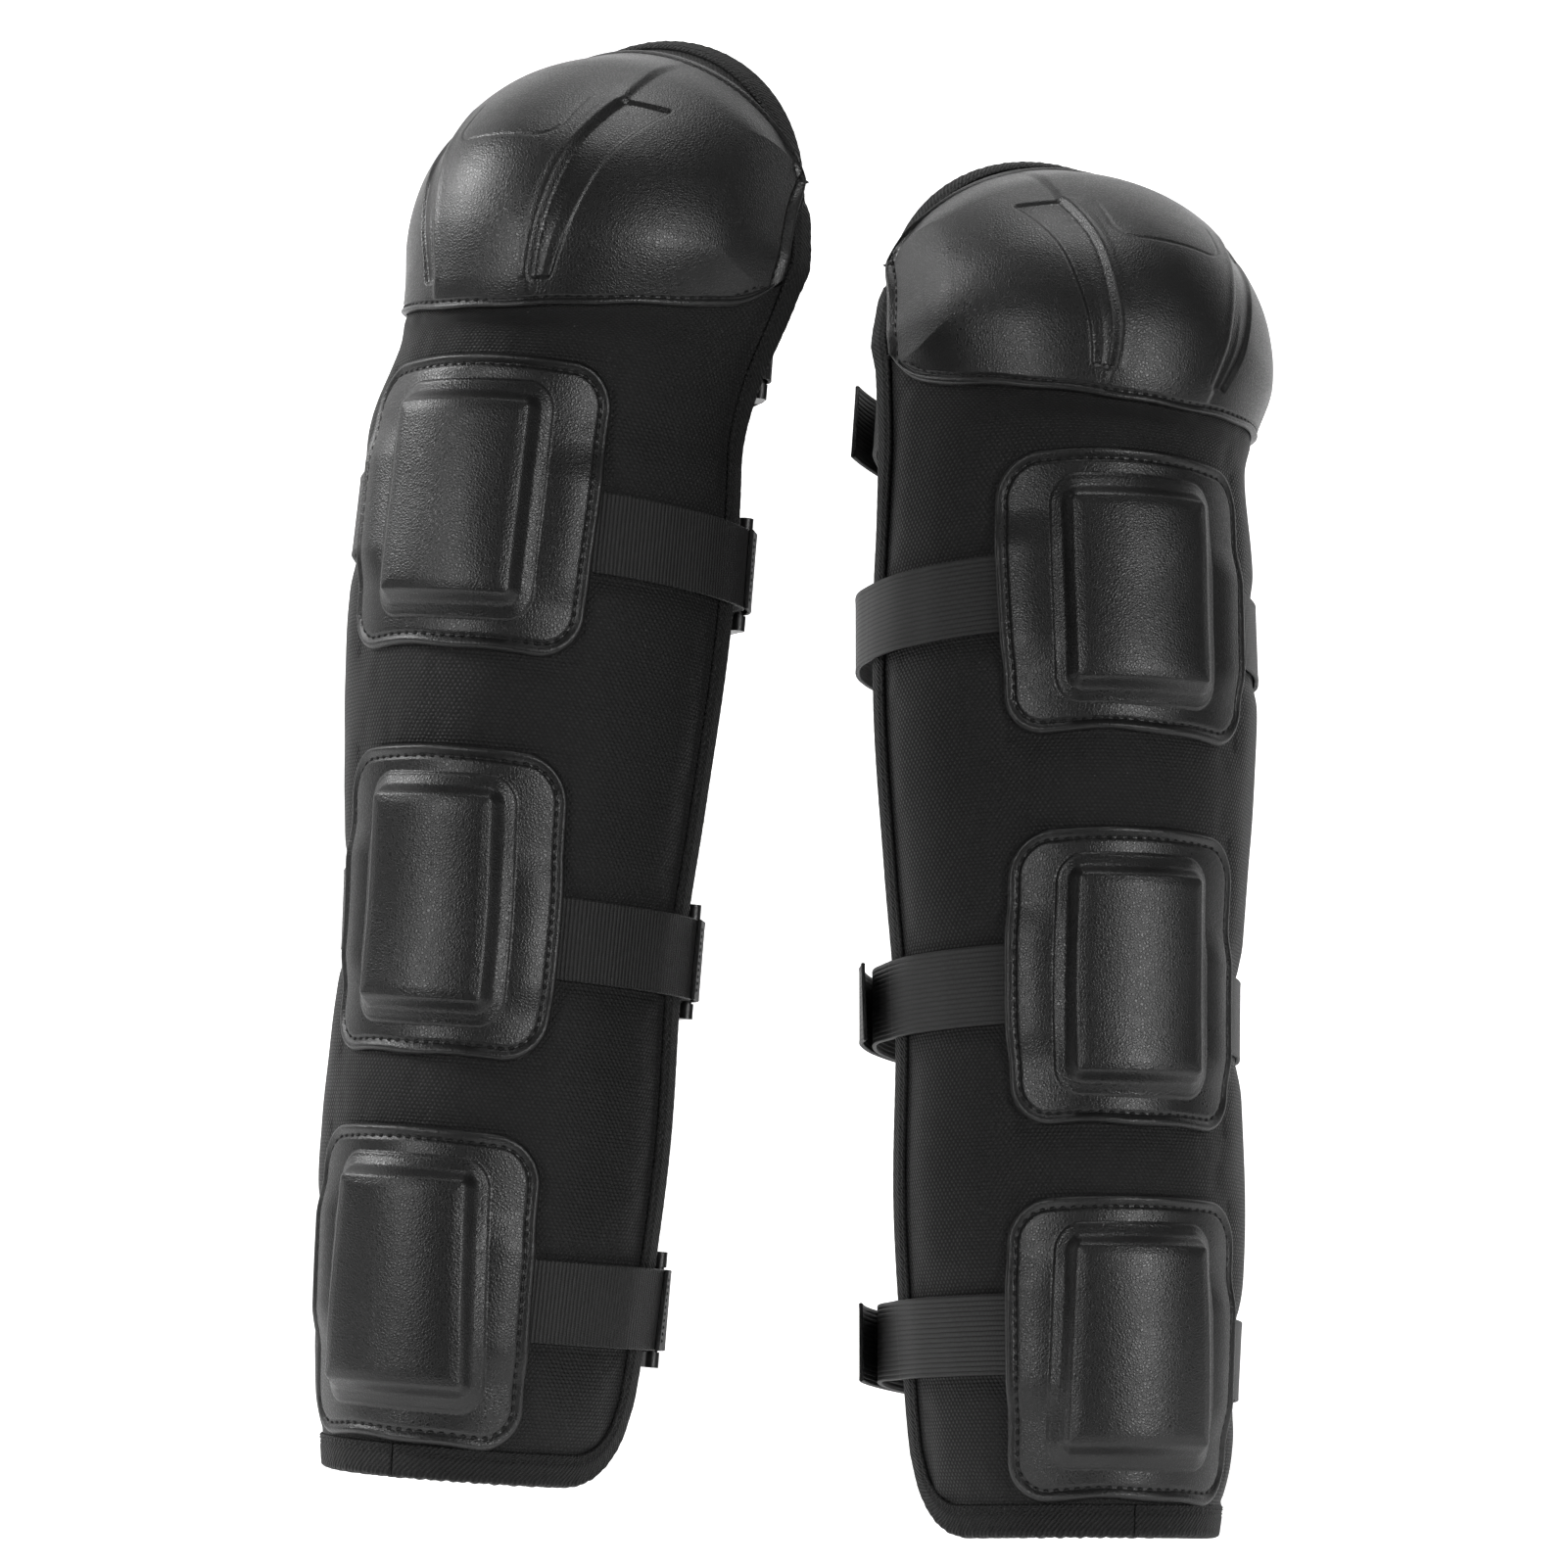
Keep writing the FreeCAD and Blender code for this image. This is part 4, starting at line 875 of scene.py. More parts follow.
class EffectShelf:
    """Builds each shared effect once and places it in materials."""

    def __init__(self) -> None:
        """Build every node group."""
        self.groups = {
            effect: getattr(self, effect.name.lower())(EffectGroup(effect)) for effect in Effect
        }

    @staticmethod
    def dot_weave(group: EffectGroup) -> bpy.types.NodeTree:
        """Build staggered raised dots over a fine plain weave."""
        sk, place, pitch = group.sketch, group.place, group.given["Pitch"]
        shift = (sk.noise(place, 0.16, 2.0) - 0.5) * 0.9
        x, y, _ = sk.split(place)
        py = (y + shift) / (pitch * 0.72)
        cx, cy, column, row = staggered(group, (x + shift) / pitch, py)
        away = sk.vector("LENGTH", sk.join(cx, cy * 0.8))
        cell = sk.join(column, row)
        chance = sk.texture("WhiteNoise", "Value", cell, noise_dimensions="2D")
        dot = sk.remap(away, 0.12, chance * 0.08 + 0.37, 1.0, 0.0)
        thread = sk.wave(x, 8.6) * sk.wave(y, 8.6) * group.given["Thread"]
        fuzz = sk.noise(place, 2.4, 4.0)
        height = dot + thread * 0.22 + fuzz * 0.35
        # The output mixes the fuzz, the cloth's own random tone, with the dots painted lighter: a
        # painted highlight on the dot tops.
        return group.finish(Height=height, Dot=dot, Shade=fuzz * 0.5 + dot * 0.55)

    @staticmethod
    def pebble(group: EffectGroup) -> bpy.types.NodeTree:
        """Build the small rounded cells of embossed leather."""
        sk, place = group.sketch, group.place
        bend = sk.texture("Noise", "Color", place, Scale=0.8)
        moved = sk.vector("ADD", place, sk.scaled(bend, 0.55))
        scale = sk.math("DIVIDE", 1.0, group.given["Size"])
        cell = {"feature": "DISTANCE_TO_EDGE", "Scale": scale}
        edge = sk.texture("Voronoi", "Distance", moved, **cell)
        dome = sk.remap(edge, 0.0, group.given["Crease"])
        small = sk.texture("Voronoi", "Distance", moved, feature="SMOOTH_F1", Scale=scale * 2.3)
        # Valley marks the creases between the cells; the leather darkens its colour by it, painted
        # shade in the creases.
        valley = sk.math("SUBTRACT", 1.0, dome)
        mottle = sk.noise(place, 0.09, 3.0)
        return group.finish(Height=dome + small * -0.45, Valley=valley, Mottle=mottle)

    @staticmethod
    def twill(group: EffectGroup) -> bpy.types.NodeTree:
        """Build slanted cords, each a row of short floats."""
        sk, place = group.sketch, group.place
        x, y, _ = sk.split(place)
        slide = y * group.given["Slant"] + sk.noise(place, 0.35, 2.0) * 0.9
        across = (x + slide) / group.given["Pitch"]
        cord = sk.wave(across, 2 * math.pi) * 0.5 + 0.5
        step = y + sk.math("FLOOR", across) * 0.45
        height = sk.wave(step, 7.4) * 0.12 + cord + sk.noise(place, 2.8, 3.0) * 0.3
        return group.finish(Height=height, Cord=cord)

    @staticmethod
    def ribbing(group: EffectGroup) -> bpy.types.NodeTree:
        """Build even woven ribs crossed by finer threads."""
        sk, place = group.sketch, group.place
        x, y, _ = sk.split(place)
        across = (x + sk.noise(place, 0.3, 2.0) * 0.35) / group.given["Pitch"]
        rib = sk.math("POWER", sk.math("ABSOLUTE", sk.wave(across, math.pi)), 0.6)
        along = y / group.given["Thread"] + sk.math("FLOOR", across) * 0.5
        cross = sk.wave(along, 2 * math.pi)
        height = cross * 0.13 + rib + sk.noise(place, 3.0, 3.0) * 0.25
        return group.finish(Height=height, Rib=rib)

    @staticmethod
    def knit(group: EffectGroup) -> bpy.types.NodeTree:
        """Build a knitted lining pierced by small round holes."""
        sk, place, pitch = group.sketch, group.place, group.given["Pitch"]
        x, y, _ = sk.split(place)
        cx, cy, _, _ = staggered(group, x / pitch, y / (pitch * 0.8))
        hole = sk.remap(sk.vector("LENGTH", sk.join(cx, cy)), 0.17, 0.3, 1.0, 0.0)
        height = sk.wave(x, 9.0) * 0.1 + sk.noise(place, 2.2, 4.0) - hole
        return group.finish(Height=height, Hole=hole)

    @staticmethod
    def wear(group: EffectGroup) -> bpy.types.NodeTree:
        """Build sparse specks of lint and broad rubbed patches."""
        sk, place = group.sketch, group.place
        cells = sk.node("ShaderNodeTexVoronoi", feature="F1")
        sk.feed(cells.inputs["Vector"], place)
        sk.feed(cells.inputs["Scale"], 0.14)
        near = sk.remap(Value(sk, cells.outputs["Distance"]), 0.02, 0.055, 1.0, 0.0)
        tint = Value(sk, cells.outputs["Color"])
        chance = sk.texture("WhiteNoise", "Value", tint, noise_dimensions="3D")
        chosen = sk.math("LESS_THAN", chance, group.given["Lint"])
        rub = sk.remap(sk.noise(place, 0.035, 4.0), 0.38, 0.68)
        return group.finish(Speck=near * chosen, Rub=rub)

    def place(
        self, sk: Sketch, effect: Effect, vector: Value, **numbers: float
    ) -> dict[str, Value]:
        """Place an effect in a material.

        Args:
            sk: the material's sketch.
            effect: which effect.
            vector: the measured place, in mm.
            numbers: values for the effect's inputs.

        Returns:
            The group's outputs by name.
        """
        node = sk.node("ShaderNodeGroup")
        node.node_tree = self.groups[effect]
        for name, value in {"Vector": vector, **numbers}.items():
            sk.feed(node.inputs[name], value)
        return {output.name: Value(sk, output) for output in node.outputs}


Colour = tuple[float, float, float, float]


def grey(level: float) -> Colour:
    """Make a grey colour."""
    return (level, level, level, 1.0)


class Measure(Enum):
    """Where a finish reads its place from."""

    CLOTH = "the cloth's own width and length"
    TURNED = "the cloth's own length and width"
    SOLID = "the place in space"


@dataclass(frozen=True)
class Lint:
    """Specks of lint: how many cells hold one, how strong and how light they are."""

    share: float
    strength: float = 0.0
    level: float = 0.0


@dataclass(frozen=True)
class Finish:
    """One finish: its colours, its pattern, and what the pattern does to them.

    shade and rough say how much each of the pattern's and the wear's outputs
    adds to the colour's share and to the roughness.
    """

    name: str
    effect: Effect
    numbers: dict[str, float]
    measure: Measure
    roughness: float
    specular: float
    dark: float
    light: float
    depth: float
    shade: dict[str, float]
    rough: dict[str, float]
    lint: Lint
    base: float = 0.0
    clamped: bool = True
    sheen: float = 0.0
    sheen_roughness: float = 0.4

    def build(self, shelf: EffectShelf) -> bpy.types.Material:
        """Build the material."""
        material = bpy.data.materials.new(self.name)
        material.use_nodes = True
        material.node_tree.nodes.clear()
        sk = Sketch(material.node_tree)
        shader = sk.node("ShaderNodeBsdfPrincipled")
        output = sk.node("ShaderNodeOutputMaterial")
        sk.feed(output.inputs["Surface"], Value(sk, shader.outputs["BSDF"]))
        shader.inputs["Specular IOR Level"].default_value = self.specular
        shader.inputs["Sheen Weight"].default_value = self.sheen
        shader.inputs["Sheen Roughness"].default_value = self.sheen_roughness
        space = sk.scaled(Value(sk, sk.node("ShaderNodeTexCoord").outputs["Object"]), 1000.0)
        place = space
        if self.measure is not Measure.SOLID:
            place = Value(sk, sk.node("ShaderNodeUVMap", uv_map="Cloth").outputs["UV"])
        if self.measure is Measure.TURNED:
            x, y, _ = sk.split(place)
            place = sk.join(y, x)
        reads = shelf.place(sk, self.effect, place, **self.numbers)
        reads.update(shelf.place(sk, Effect.WEAR, space, Lint=self.lint.share))
        share: object = self.base
        for name, gain in self.shade.items():
            share = sk.math("MULTIPLY_ADD", reads[name], gain, share, clamp=self.clamped)
        colour = sk.blend(share, grey(self.dark), grey(self.light))
        if self.lint.strength > 0.0:
            colour = sk.blend(reads["Speck"] * self.lint.strength, colour, grey(self.lint.level))
        sk.feed(shader.inputs["Base Color"], colour)
        rough: object = self.roughness
        for name, gain in self.rough.items():
            rough = sk.math("MULTIPLY_ADD", reads[name], gain, rough)
        sk.feed(shader.inputs["Roughness"], rough)
        bump = sk.node("ShaderNodeBump")
        bump.inputs["Strength"].default_value = 1.0
        bump.inputs["Distance"].default_value = self.depth * MM
        sk.feed(bump.inputs["Height"], reads["Height"])
        sk.feed(shader.inputs["Normal"], Value(sk, bump.outputs["Normal"]))
        return material


LEATHER = Finish(
    "pressed leather", Effect.PEBBLE, {"Size": 1.2, "Crease": 0.34}, Measure.SOLID,
    roughness=0.32, specular=0.5, dark=0.0035, light=0.0085, depth=0.055,
    # Valley darkens the grain's creases: painted shade in the creases. Rub and Mottle are the
    # leather's own wear and random tone.
    shade={"Rub": 1.0, "Valley": -0.45, "Mottle": 0.6},
    rough={"Valley": 0.14, "Rub": -0.05},
    lint=Lint(0.12, 0.25, 0.1), clamped=False,
)
WEBBING = Finish(
    "webbing", Effect.RIBBING, {"Pitch": 1.7, "Thread": 0.6}, Measure.CLOTH,
    roughness=0.62, specular=0.35, dark=0.003, light=0.013, depth=0.34,
    shade={"Rib": 1.0, "Rub": 0.2},
    rough={"Rib": -0.14}, lint=Lint(0.25, 0.3, 0.14),
)
FINISHES = {
    "cover": Finish(
        "cover cloth", Effect.DOT_WEAVE, {"Pitch": 1.9, "Thread": 0.5}, Measure.CLOTH,
        roughness=0.64, specular=0.25, dark=0.003, light=0.014, depth=0.34,
        # The dots' lighter colour is a painted highlight on the dot tops; the fuzz and Rub are the
        # cloth's own tone and wear.
        shade={"Shade": 1.0, "Rub": 0.16},
        rough={"Dot": -0.2}, lint=Lint(0.3, 0.35, 0.16),
    ),
    "leather": LEATHER,
    # The walls' leather is painted about three times lighter than the faces: a painted highlight
    # along the cut edges of the cup and plates.
    "rim": replace(
        LEATHER, name="leather cut edge", numbers={"Size": 0.5, "Crease": 0.34},
        roughness=0.3, specular=0.6, dark=0.01, light=0.03,
    ),
    "tape": Finish(
        "binding tape", Effect.TWILL, {"Pitch": 2.0, "Slant": 0.9}, Measure.CLOTH,
        roughness=0.72, specular=0.3, dark=0.0025, light=0.011, depth=0.6,
        shade={"Cord": 1.0, "Rub": 0.2},
        rough={"Cord": -0.12}, lint=Lint(0.35, 0.4, 0.16),
    ),
    "lining": Finish(
        "knit lining", Effect.KNIT, {"Pitch": 2.7}, Measure.CLOTH,
        roughness=0.9, specular=0.2, dark=0.004, light=0.026, depth=0.35,
        shade={"Hole": -1.0, "Rub": 0.25},
        rough={"Hole": 0.1}, lint=Lint(0.5, 0.5, 0.2),
        base=0.75, sheen=0.04, sheen_roughness=0.6,
    ),
    "foam": Finish(
        "foam", Effect.PEBBLE, {"Size": 0.6, "Crease": 0.2}, Measure.SOLID,
        roughness=0.9, specular=0.3, dark=0.008, light=0.03, depth=0.25,
        shade={"Mottle": 1.0, "Rub": 0.3},
        rough={"Valley": 0.08}, lint=Lint(0.1),
    ),
    "webbing": WEBBING,
    "elastic": replace(
        WEBBING, name="elastic", numbers={"Pitch": 1.85, "Thread": 0.6},
        measure=Measure.TURNED, roughness=0.6, light=0.016, depth=0.3,
    ),
    "plastic": Finish(
        "buckle plastic", Effect.PEBBLE, {"Size": 0.35, "Crease": 0.4}, Measure.SOLID,
        roughness=0.38, specular=0.5, dark=0.004, light=0.009, depth=0.02,
        shade={"Mottle": 0.3, "Rub": 0.6},
        rough={"Rub": -0.08}, lint=Lint(0.15, 0.2, 0.1),
    ),
    "thread": Finish(
        "thread", Effect.TWILL, {"Pitch": 0.42, "Slant": 0.8}, Measure.CLOTH,
        roughness=0.55, specular=0.4, dark=0.0015, light=0.006, depth=0.12,
        shade={"Cord": 1.0, "Rub": 0.2},
        rough={"Cord": -0.12}, lint=Lint(0.3),
    ),
}


Wardrobe = dict[str, bpy.types.Material]


def wardrobe_of_finishes() -> Wardrobe:
    """Build the shared effects and the material of every kind of part."""
    shelf = EffectShelf()
    return {part: finish.build(shelf) for part, finish in FINISHES.items()}


@dataclass
class SewnPart:
    """A sub-assembly sewn to one guard's wrap."""

    guard: Guard
    wardrobe: Wardrobe

    def maker(self, what: str) -> MeshMaker:
        """Start a mesh named after the guard."""
        return MeshMaker(f"{self.guard.name}_{what}")

    def dress(
        self,
        maker: MeshMaker,
        parts: Sequence[str],
        slot: str,
        node: Optional[str] = None,
        fill: Optional[float] = None,
    ) -> bpy.types.Object:
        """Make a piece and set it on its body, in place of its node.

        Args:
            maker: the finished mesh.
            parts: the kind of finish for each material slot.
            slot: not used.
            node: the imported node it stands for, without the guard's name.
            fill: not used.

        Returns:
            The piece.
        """
        piece = maker.make([self.wardrobe[part] for part in parts])
        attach(piece, BODY)
        if node is not None:
            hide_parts(f"{self.guard.name}_{node}")
        return piece

    def layer(self, what: str, place: Sequence[Array], outs: Sequence[Array]) -> MeshMaker:
        """Start a closed slab over the wrap.

        Args:
            what: the piece's name, without the guard's name.
            place: its angles, girths and UVs.
            outs: how far its top and its bottom are above the wrap's face, mm.

        Returns:
            The mesh.
        """
        theta, v, uvs = place
        maker = self.maker(what)
        maker.add_slab(*(self.guard.skin(theta, v, out) for out in outs), uvs)
        return maker


# ------------------------------------------------------------------ the wrap
COVER_CLOTH = {
    "quality": 6,
    "mass": 0.25,
    "tension_stiffness": 22.0,
    "compression_stiffness": 12.0,
    "shear_stiffness": 6.0,
    "bending_stiffness": 0.35,
    "air_damping": 3.0,
    "vertex_group_mass": "sewn",
    "pin_stiffness": 1.0,
    "use_pressure": True,
}
# points of the cloth run's sheet, round the leg and up it
SHEET_U = 57
SHEET_V = 113
# the binding covers this much of the wrap's edge, mm
TAPE_REACH = 11.0


@dataclass(frozen=True)
class SheetSlack:
    """How loosely the cover lies over its foam between the sewn parts."""

    spare: float = 0.012
    lift: float = 0.9
    frames: int = 26
    cap: float = 1.7


class CoverSheet:
    """The cover's puffs and puckers between the parts sewn to it, from a cloth run."""

    def __init__(self, guard: Guard, slack: SheetSlack) -> None:
        """Lay the sheet flat, hold it where it is sewn, and let it settle.

        Args:
            guard: the guard whose cover it is.
            slack: how loose the cloth is.
        """
        self.guard = guard
        self.slack = slack
        self.theta = np.linspace(-90.0, 90.0, SHEET_U)
        self.v = np.linspace(0.0, FORM.rim, SHEET_V)
        grid_theta, grid_v = np.meshgrid(self.theta, self.v, indexing="ij")
        self.free = sewn_distance(grid_theta, grid_v)
        self.rise = self.settle(grid_theta, grid_v)

    def settle(self, theta: Array, v: Array) -> Array:
        """Run the cloth and read how far each point has lifted, in mm."""
        rng = np.random.default_rng(self.guard.seed)
        width = FORM.width(theta, v)
        flat = np.stack([width, v, np.zeros_like(v)], -1) * 0.01
        flat[..., :2] += rng.normal(0.0, 0.003, flat[..., :2].shape)
        maker = MeshMaker(f"{self.guard.name}_cover_sheet")
        maker.add(flat, flat[..., :2], maker.grid_faces(SHEET_U, SHEET_V))
        sheet = maker.make([])
        hold = sheet.vertex_groups.new(name="sewn")
        weight = np.clip(1.0 - self.free / 9.0, 0.0, 1.0).ravel()
        for index in np.nonzero(weight > 0.02)[0]:
            hold.add([int(index)], float(weight[index]), "REPLACE")
        cloth = sheet.modifiers.new("settle", "CLOTH")
        made = cloth.settings
        for name, value in COVER_CLOTH.items():
            setattr(made, name, value)
        made.shrink_min = -self.slack.spare
        made.uniform_pressure_force = self.slack.lift
        made.effector_weights.gravity = 0.0
        cloth.collision_settings.use_collision = False
        cloth.point_cache.frame_start = 1
        cloth.point_cache.frame_end = self.slack.frames
        scene = bpy.context.scene
        for step in range(1, self.slack.frames + 1):
            scene.frame_set(step)
        graph = bpy.context.evaluated_depsgraph_get()
        settled = sheet.evaluated_get(graph).to_mesh()
        places = np.empty(len(settled.vertices) * 3, np.float32)
        settled.vertices.foreach_get("co", places)
        sheet.evaluated_get(graph).to_mesh_clear()
        scene.frame_set(1)
        mesh = sheet.data
        bpy.data.objects.remove(sheet)
        bpy.data.meshes.remove(mesh)
        rise = places.reshape(theta.shape + (3,))[..., 2].astype(float) * 100.0
        if np.median(rise[self.free > 9.0]) < 0.0:
            rise = -rise
        log.info("%s cover lifts up to %.2f mm", self.guard.name, float(rise.max()))
        return self.slack.cap * np.tanh(np.maximum(rise, -0.2) / self.slack.cap)

    def lift(self, theta: Array, v: Array) -> Array:
        """Give the cover's lift in mm at any place, cubic between the sheet's points."""
        fu = (np.asarray(theta) + 90.0) / 180.0 * (SHEET_U - 1)
        fv = np.asarray(v) / FORM.rim * (SHEET_V - 1)
        raised = cubic_read(self.rise, fu, fv)
        return np.maximum(raised, 0.0) * smooth(sewn_distance(theta, v) / 3.0)


def cubic_read(field_values: Array, fu: Array, fv: Array) -> Array:
    """Read a grid of values between its points with a cubic B-spline blend."""
    nu, nv = field_values.shape
    iu, iv = np.floor(fu).astype(int), np.floor(fv).astype(int)
    total = 0.0
    for du in range(-1, 3):
        wu = spline_weight(fu - iu, du)
        for dv in range(-1, 3):
            at = field_values[np.clip(iu + du, 0, nu - 1), np.clip(iv + dv, 0, nv - 1)]
            total = total + wu * spline_weight(fv - iv, dv) * at
    return total


def spline_weight(t: Array, step: int) -> Array:
    """Give the weight of the neighbour step cells on, at share t of a cell."""
    return (
        (1.0 - t) ** 3 / 6.0,
        (3.0 * t**3 - 6.0 * t**2 + 4.0) / 6.0,
        (-3.0 * t**3 + 3.0 * t**2 + 3.0 * t + 1.0) / 6.0,
        t**3 / 6.0,
    )[step + 1]


def hem_low(theta: Array) -> Array:
    """Give the girth at which the wrap starts at an angle, where its corners are round."""
    theta = np.asarray(theta, float)
    low = np.zeros_like(theta)
    for _ in range(4):
        edge_y, _, _, front_y, _ = FORM.section(low)
        y = edge_y + (front_y - edge_y) * np.cos(np.radians(theta))
        into = np.clip(y - (EDGE_BACK - HEM_CORNER), 0.0, HEM_CORNER)
        low = HEM_CORNER - np.sqrt(HEM_CORNER**2 - into**2)
    return low


def sewn_distance(theta: Array, v: Array) -> Array:
    """Give how far a place on the cover is from the nearest part sewn over it, in mm."""
    theta, v = np.broadcast_arrays(np.asarray(theta, float), np.asarray(v, float))
    x = FORM.width(theta, v)
    side = FORM.from_side(theta, v)
    gaps = [side - TAPE_REACH, FORM.rim - v - TAPE_REACH, v - TAPE_REACH]
    gaps.append(CupForm.bottom(theta) + 3.0 - v)
    outs = []
    for plate in PLATES:
        half = plate.half_at(v) - 1.5
        outs.append([np.abs(x) - half, plate.bottom + 1.5 - v, v - plate.top - 0.5])
    for strap in STRAPS:
        if strap.plate is not None:
            level = strap.height + np.where(theta < 0, STRAP_RISE, 0.0)
            start = strap.sewn_width() - 2.0
            outs.append([start - np.abs(x), np.abs(v - level) - STRAP_WIDTH / 2 - 1.0])
    gaps += [np.linalg.norm(np.maximum(np.stack(out), 0), axis=0) for out in outs]
    return np.maximum(np.min(np.stack(gaps), axis=0), 0.0)


@dataclass
class Wrap(SewnPart):
    """The soft body of one guard: cover, foam and lining."""

    def grid(self, across: int, along: int, inset: float = 0.0) -> tuple[Array, Array, Array]:
        """Lay a grid of angles and girths over the wrap, with the hem's round corners.

        Args:
            across: points round the leg.
            along: points up the guard.
            inset: how far the layer stops short of the edge, mm.

        Returns:
            Angles, girths, and UVs in mm.
        """
        side = 90.0 - float(FORM.angle(inset, FORM.rim))
        theta = spread_grid(-side, side, across, 0.5)[:, None]
        low = np.maximum(hem_low(theta[:, 0]), 0.0)[:, None] + inset
        share = np.linspace(0.0, 1.0, along)[None, :]
        v = low + (FORM.rim - inset - low) * share
        theta = np.broadcast_to(theta, v.shape)
        return theta, v, np.stack([FORM.width(theta, 200.0), v], -1)

    def build(self) -> None:
        """Build the three layers."""
        self.cover()
        self.foam()
        self.lining()

    def cover(self) -> None:
        """Build the outer cloth, lifted between the parts sewn over it."""
        theta, v, uvs = self.grid(across=300, along=720)
        sheet = CoverSheet(self.guard, SheetSlack())
        rng = np.random.default_rng(self.guard.seed + 5)
        lumps = 0.06 * chance_waves(uvs, rng, count=7, pace=0.12, swing=2 * math.pi)
        free = sewn_distance(theta, v)
        rise = sheet.lift(theta, v) + lumps * smooth(free / 8.0)
        outs = (rise - 0.12 * bell(free - 0.6, 1.2), -COVER)
        maker = self.layer("cover_cloth", (theta, v, uvs), outs)
        self.dress(maker, ["cover"], "cover_fabric", "body_cover", 0.9)

    def foam(self) -> None:
        """Build the foam between cover and lining."""
        place = self.grid(across=90, along=180, inset=FOAM_INSET)
        soft = 0.1 * np.sin(place[2][..., 0] * 0.11) * np.sin(place[2][..., 1] * 0.07)
        outs = (soft - COVER - LAYER_GAP, -WRAP + LINING + LAYER_GAP)
        maker = self.layer("foam_layer", place, outs)
        self.dress(maker, ["foam"], "foam", "foam_core", 0.95)

    def lining(self) -> None:
        """Build the knitted lining with its soft hollows."""
        theta, v, uvs = self.grid(across=150, along=360)
        rng = np.random.default_rng(self.guard.seed + 9)
        hollows = 0.16 * chance_waves(uvs, rng, count=9, pace=0.09, swing=6.0)
        side = FORM.from_side(theta, v)
        inside = np.minimum(np.minimum(side, FORM.rim - v), v) - TAPE_REACH
        outs = (-WRAP + LINING, hollows * smooth(inside / 10.0) - WRAP)
        maker = self.layer("lining_knit", (theta, v, uvs), outs)
        self.dress(maker, ["lining"], "mesh_lining", "mesh_lining", 0.7)


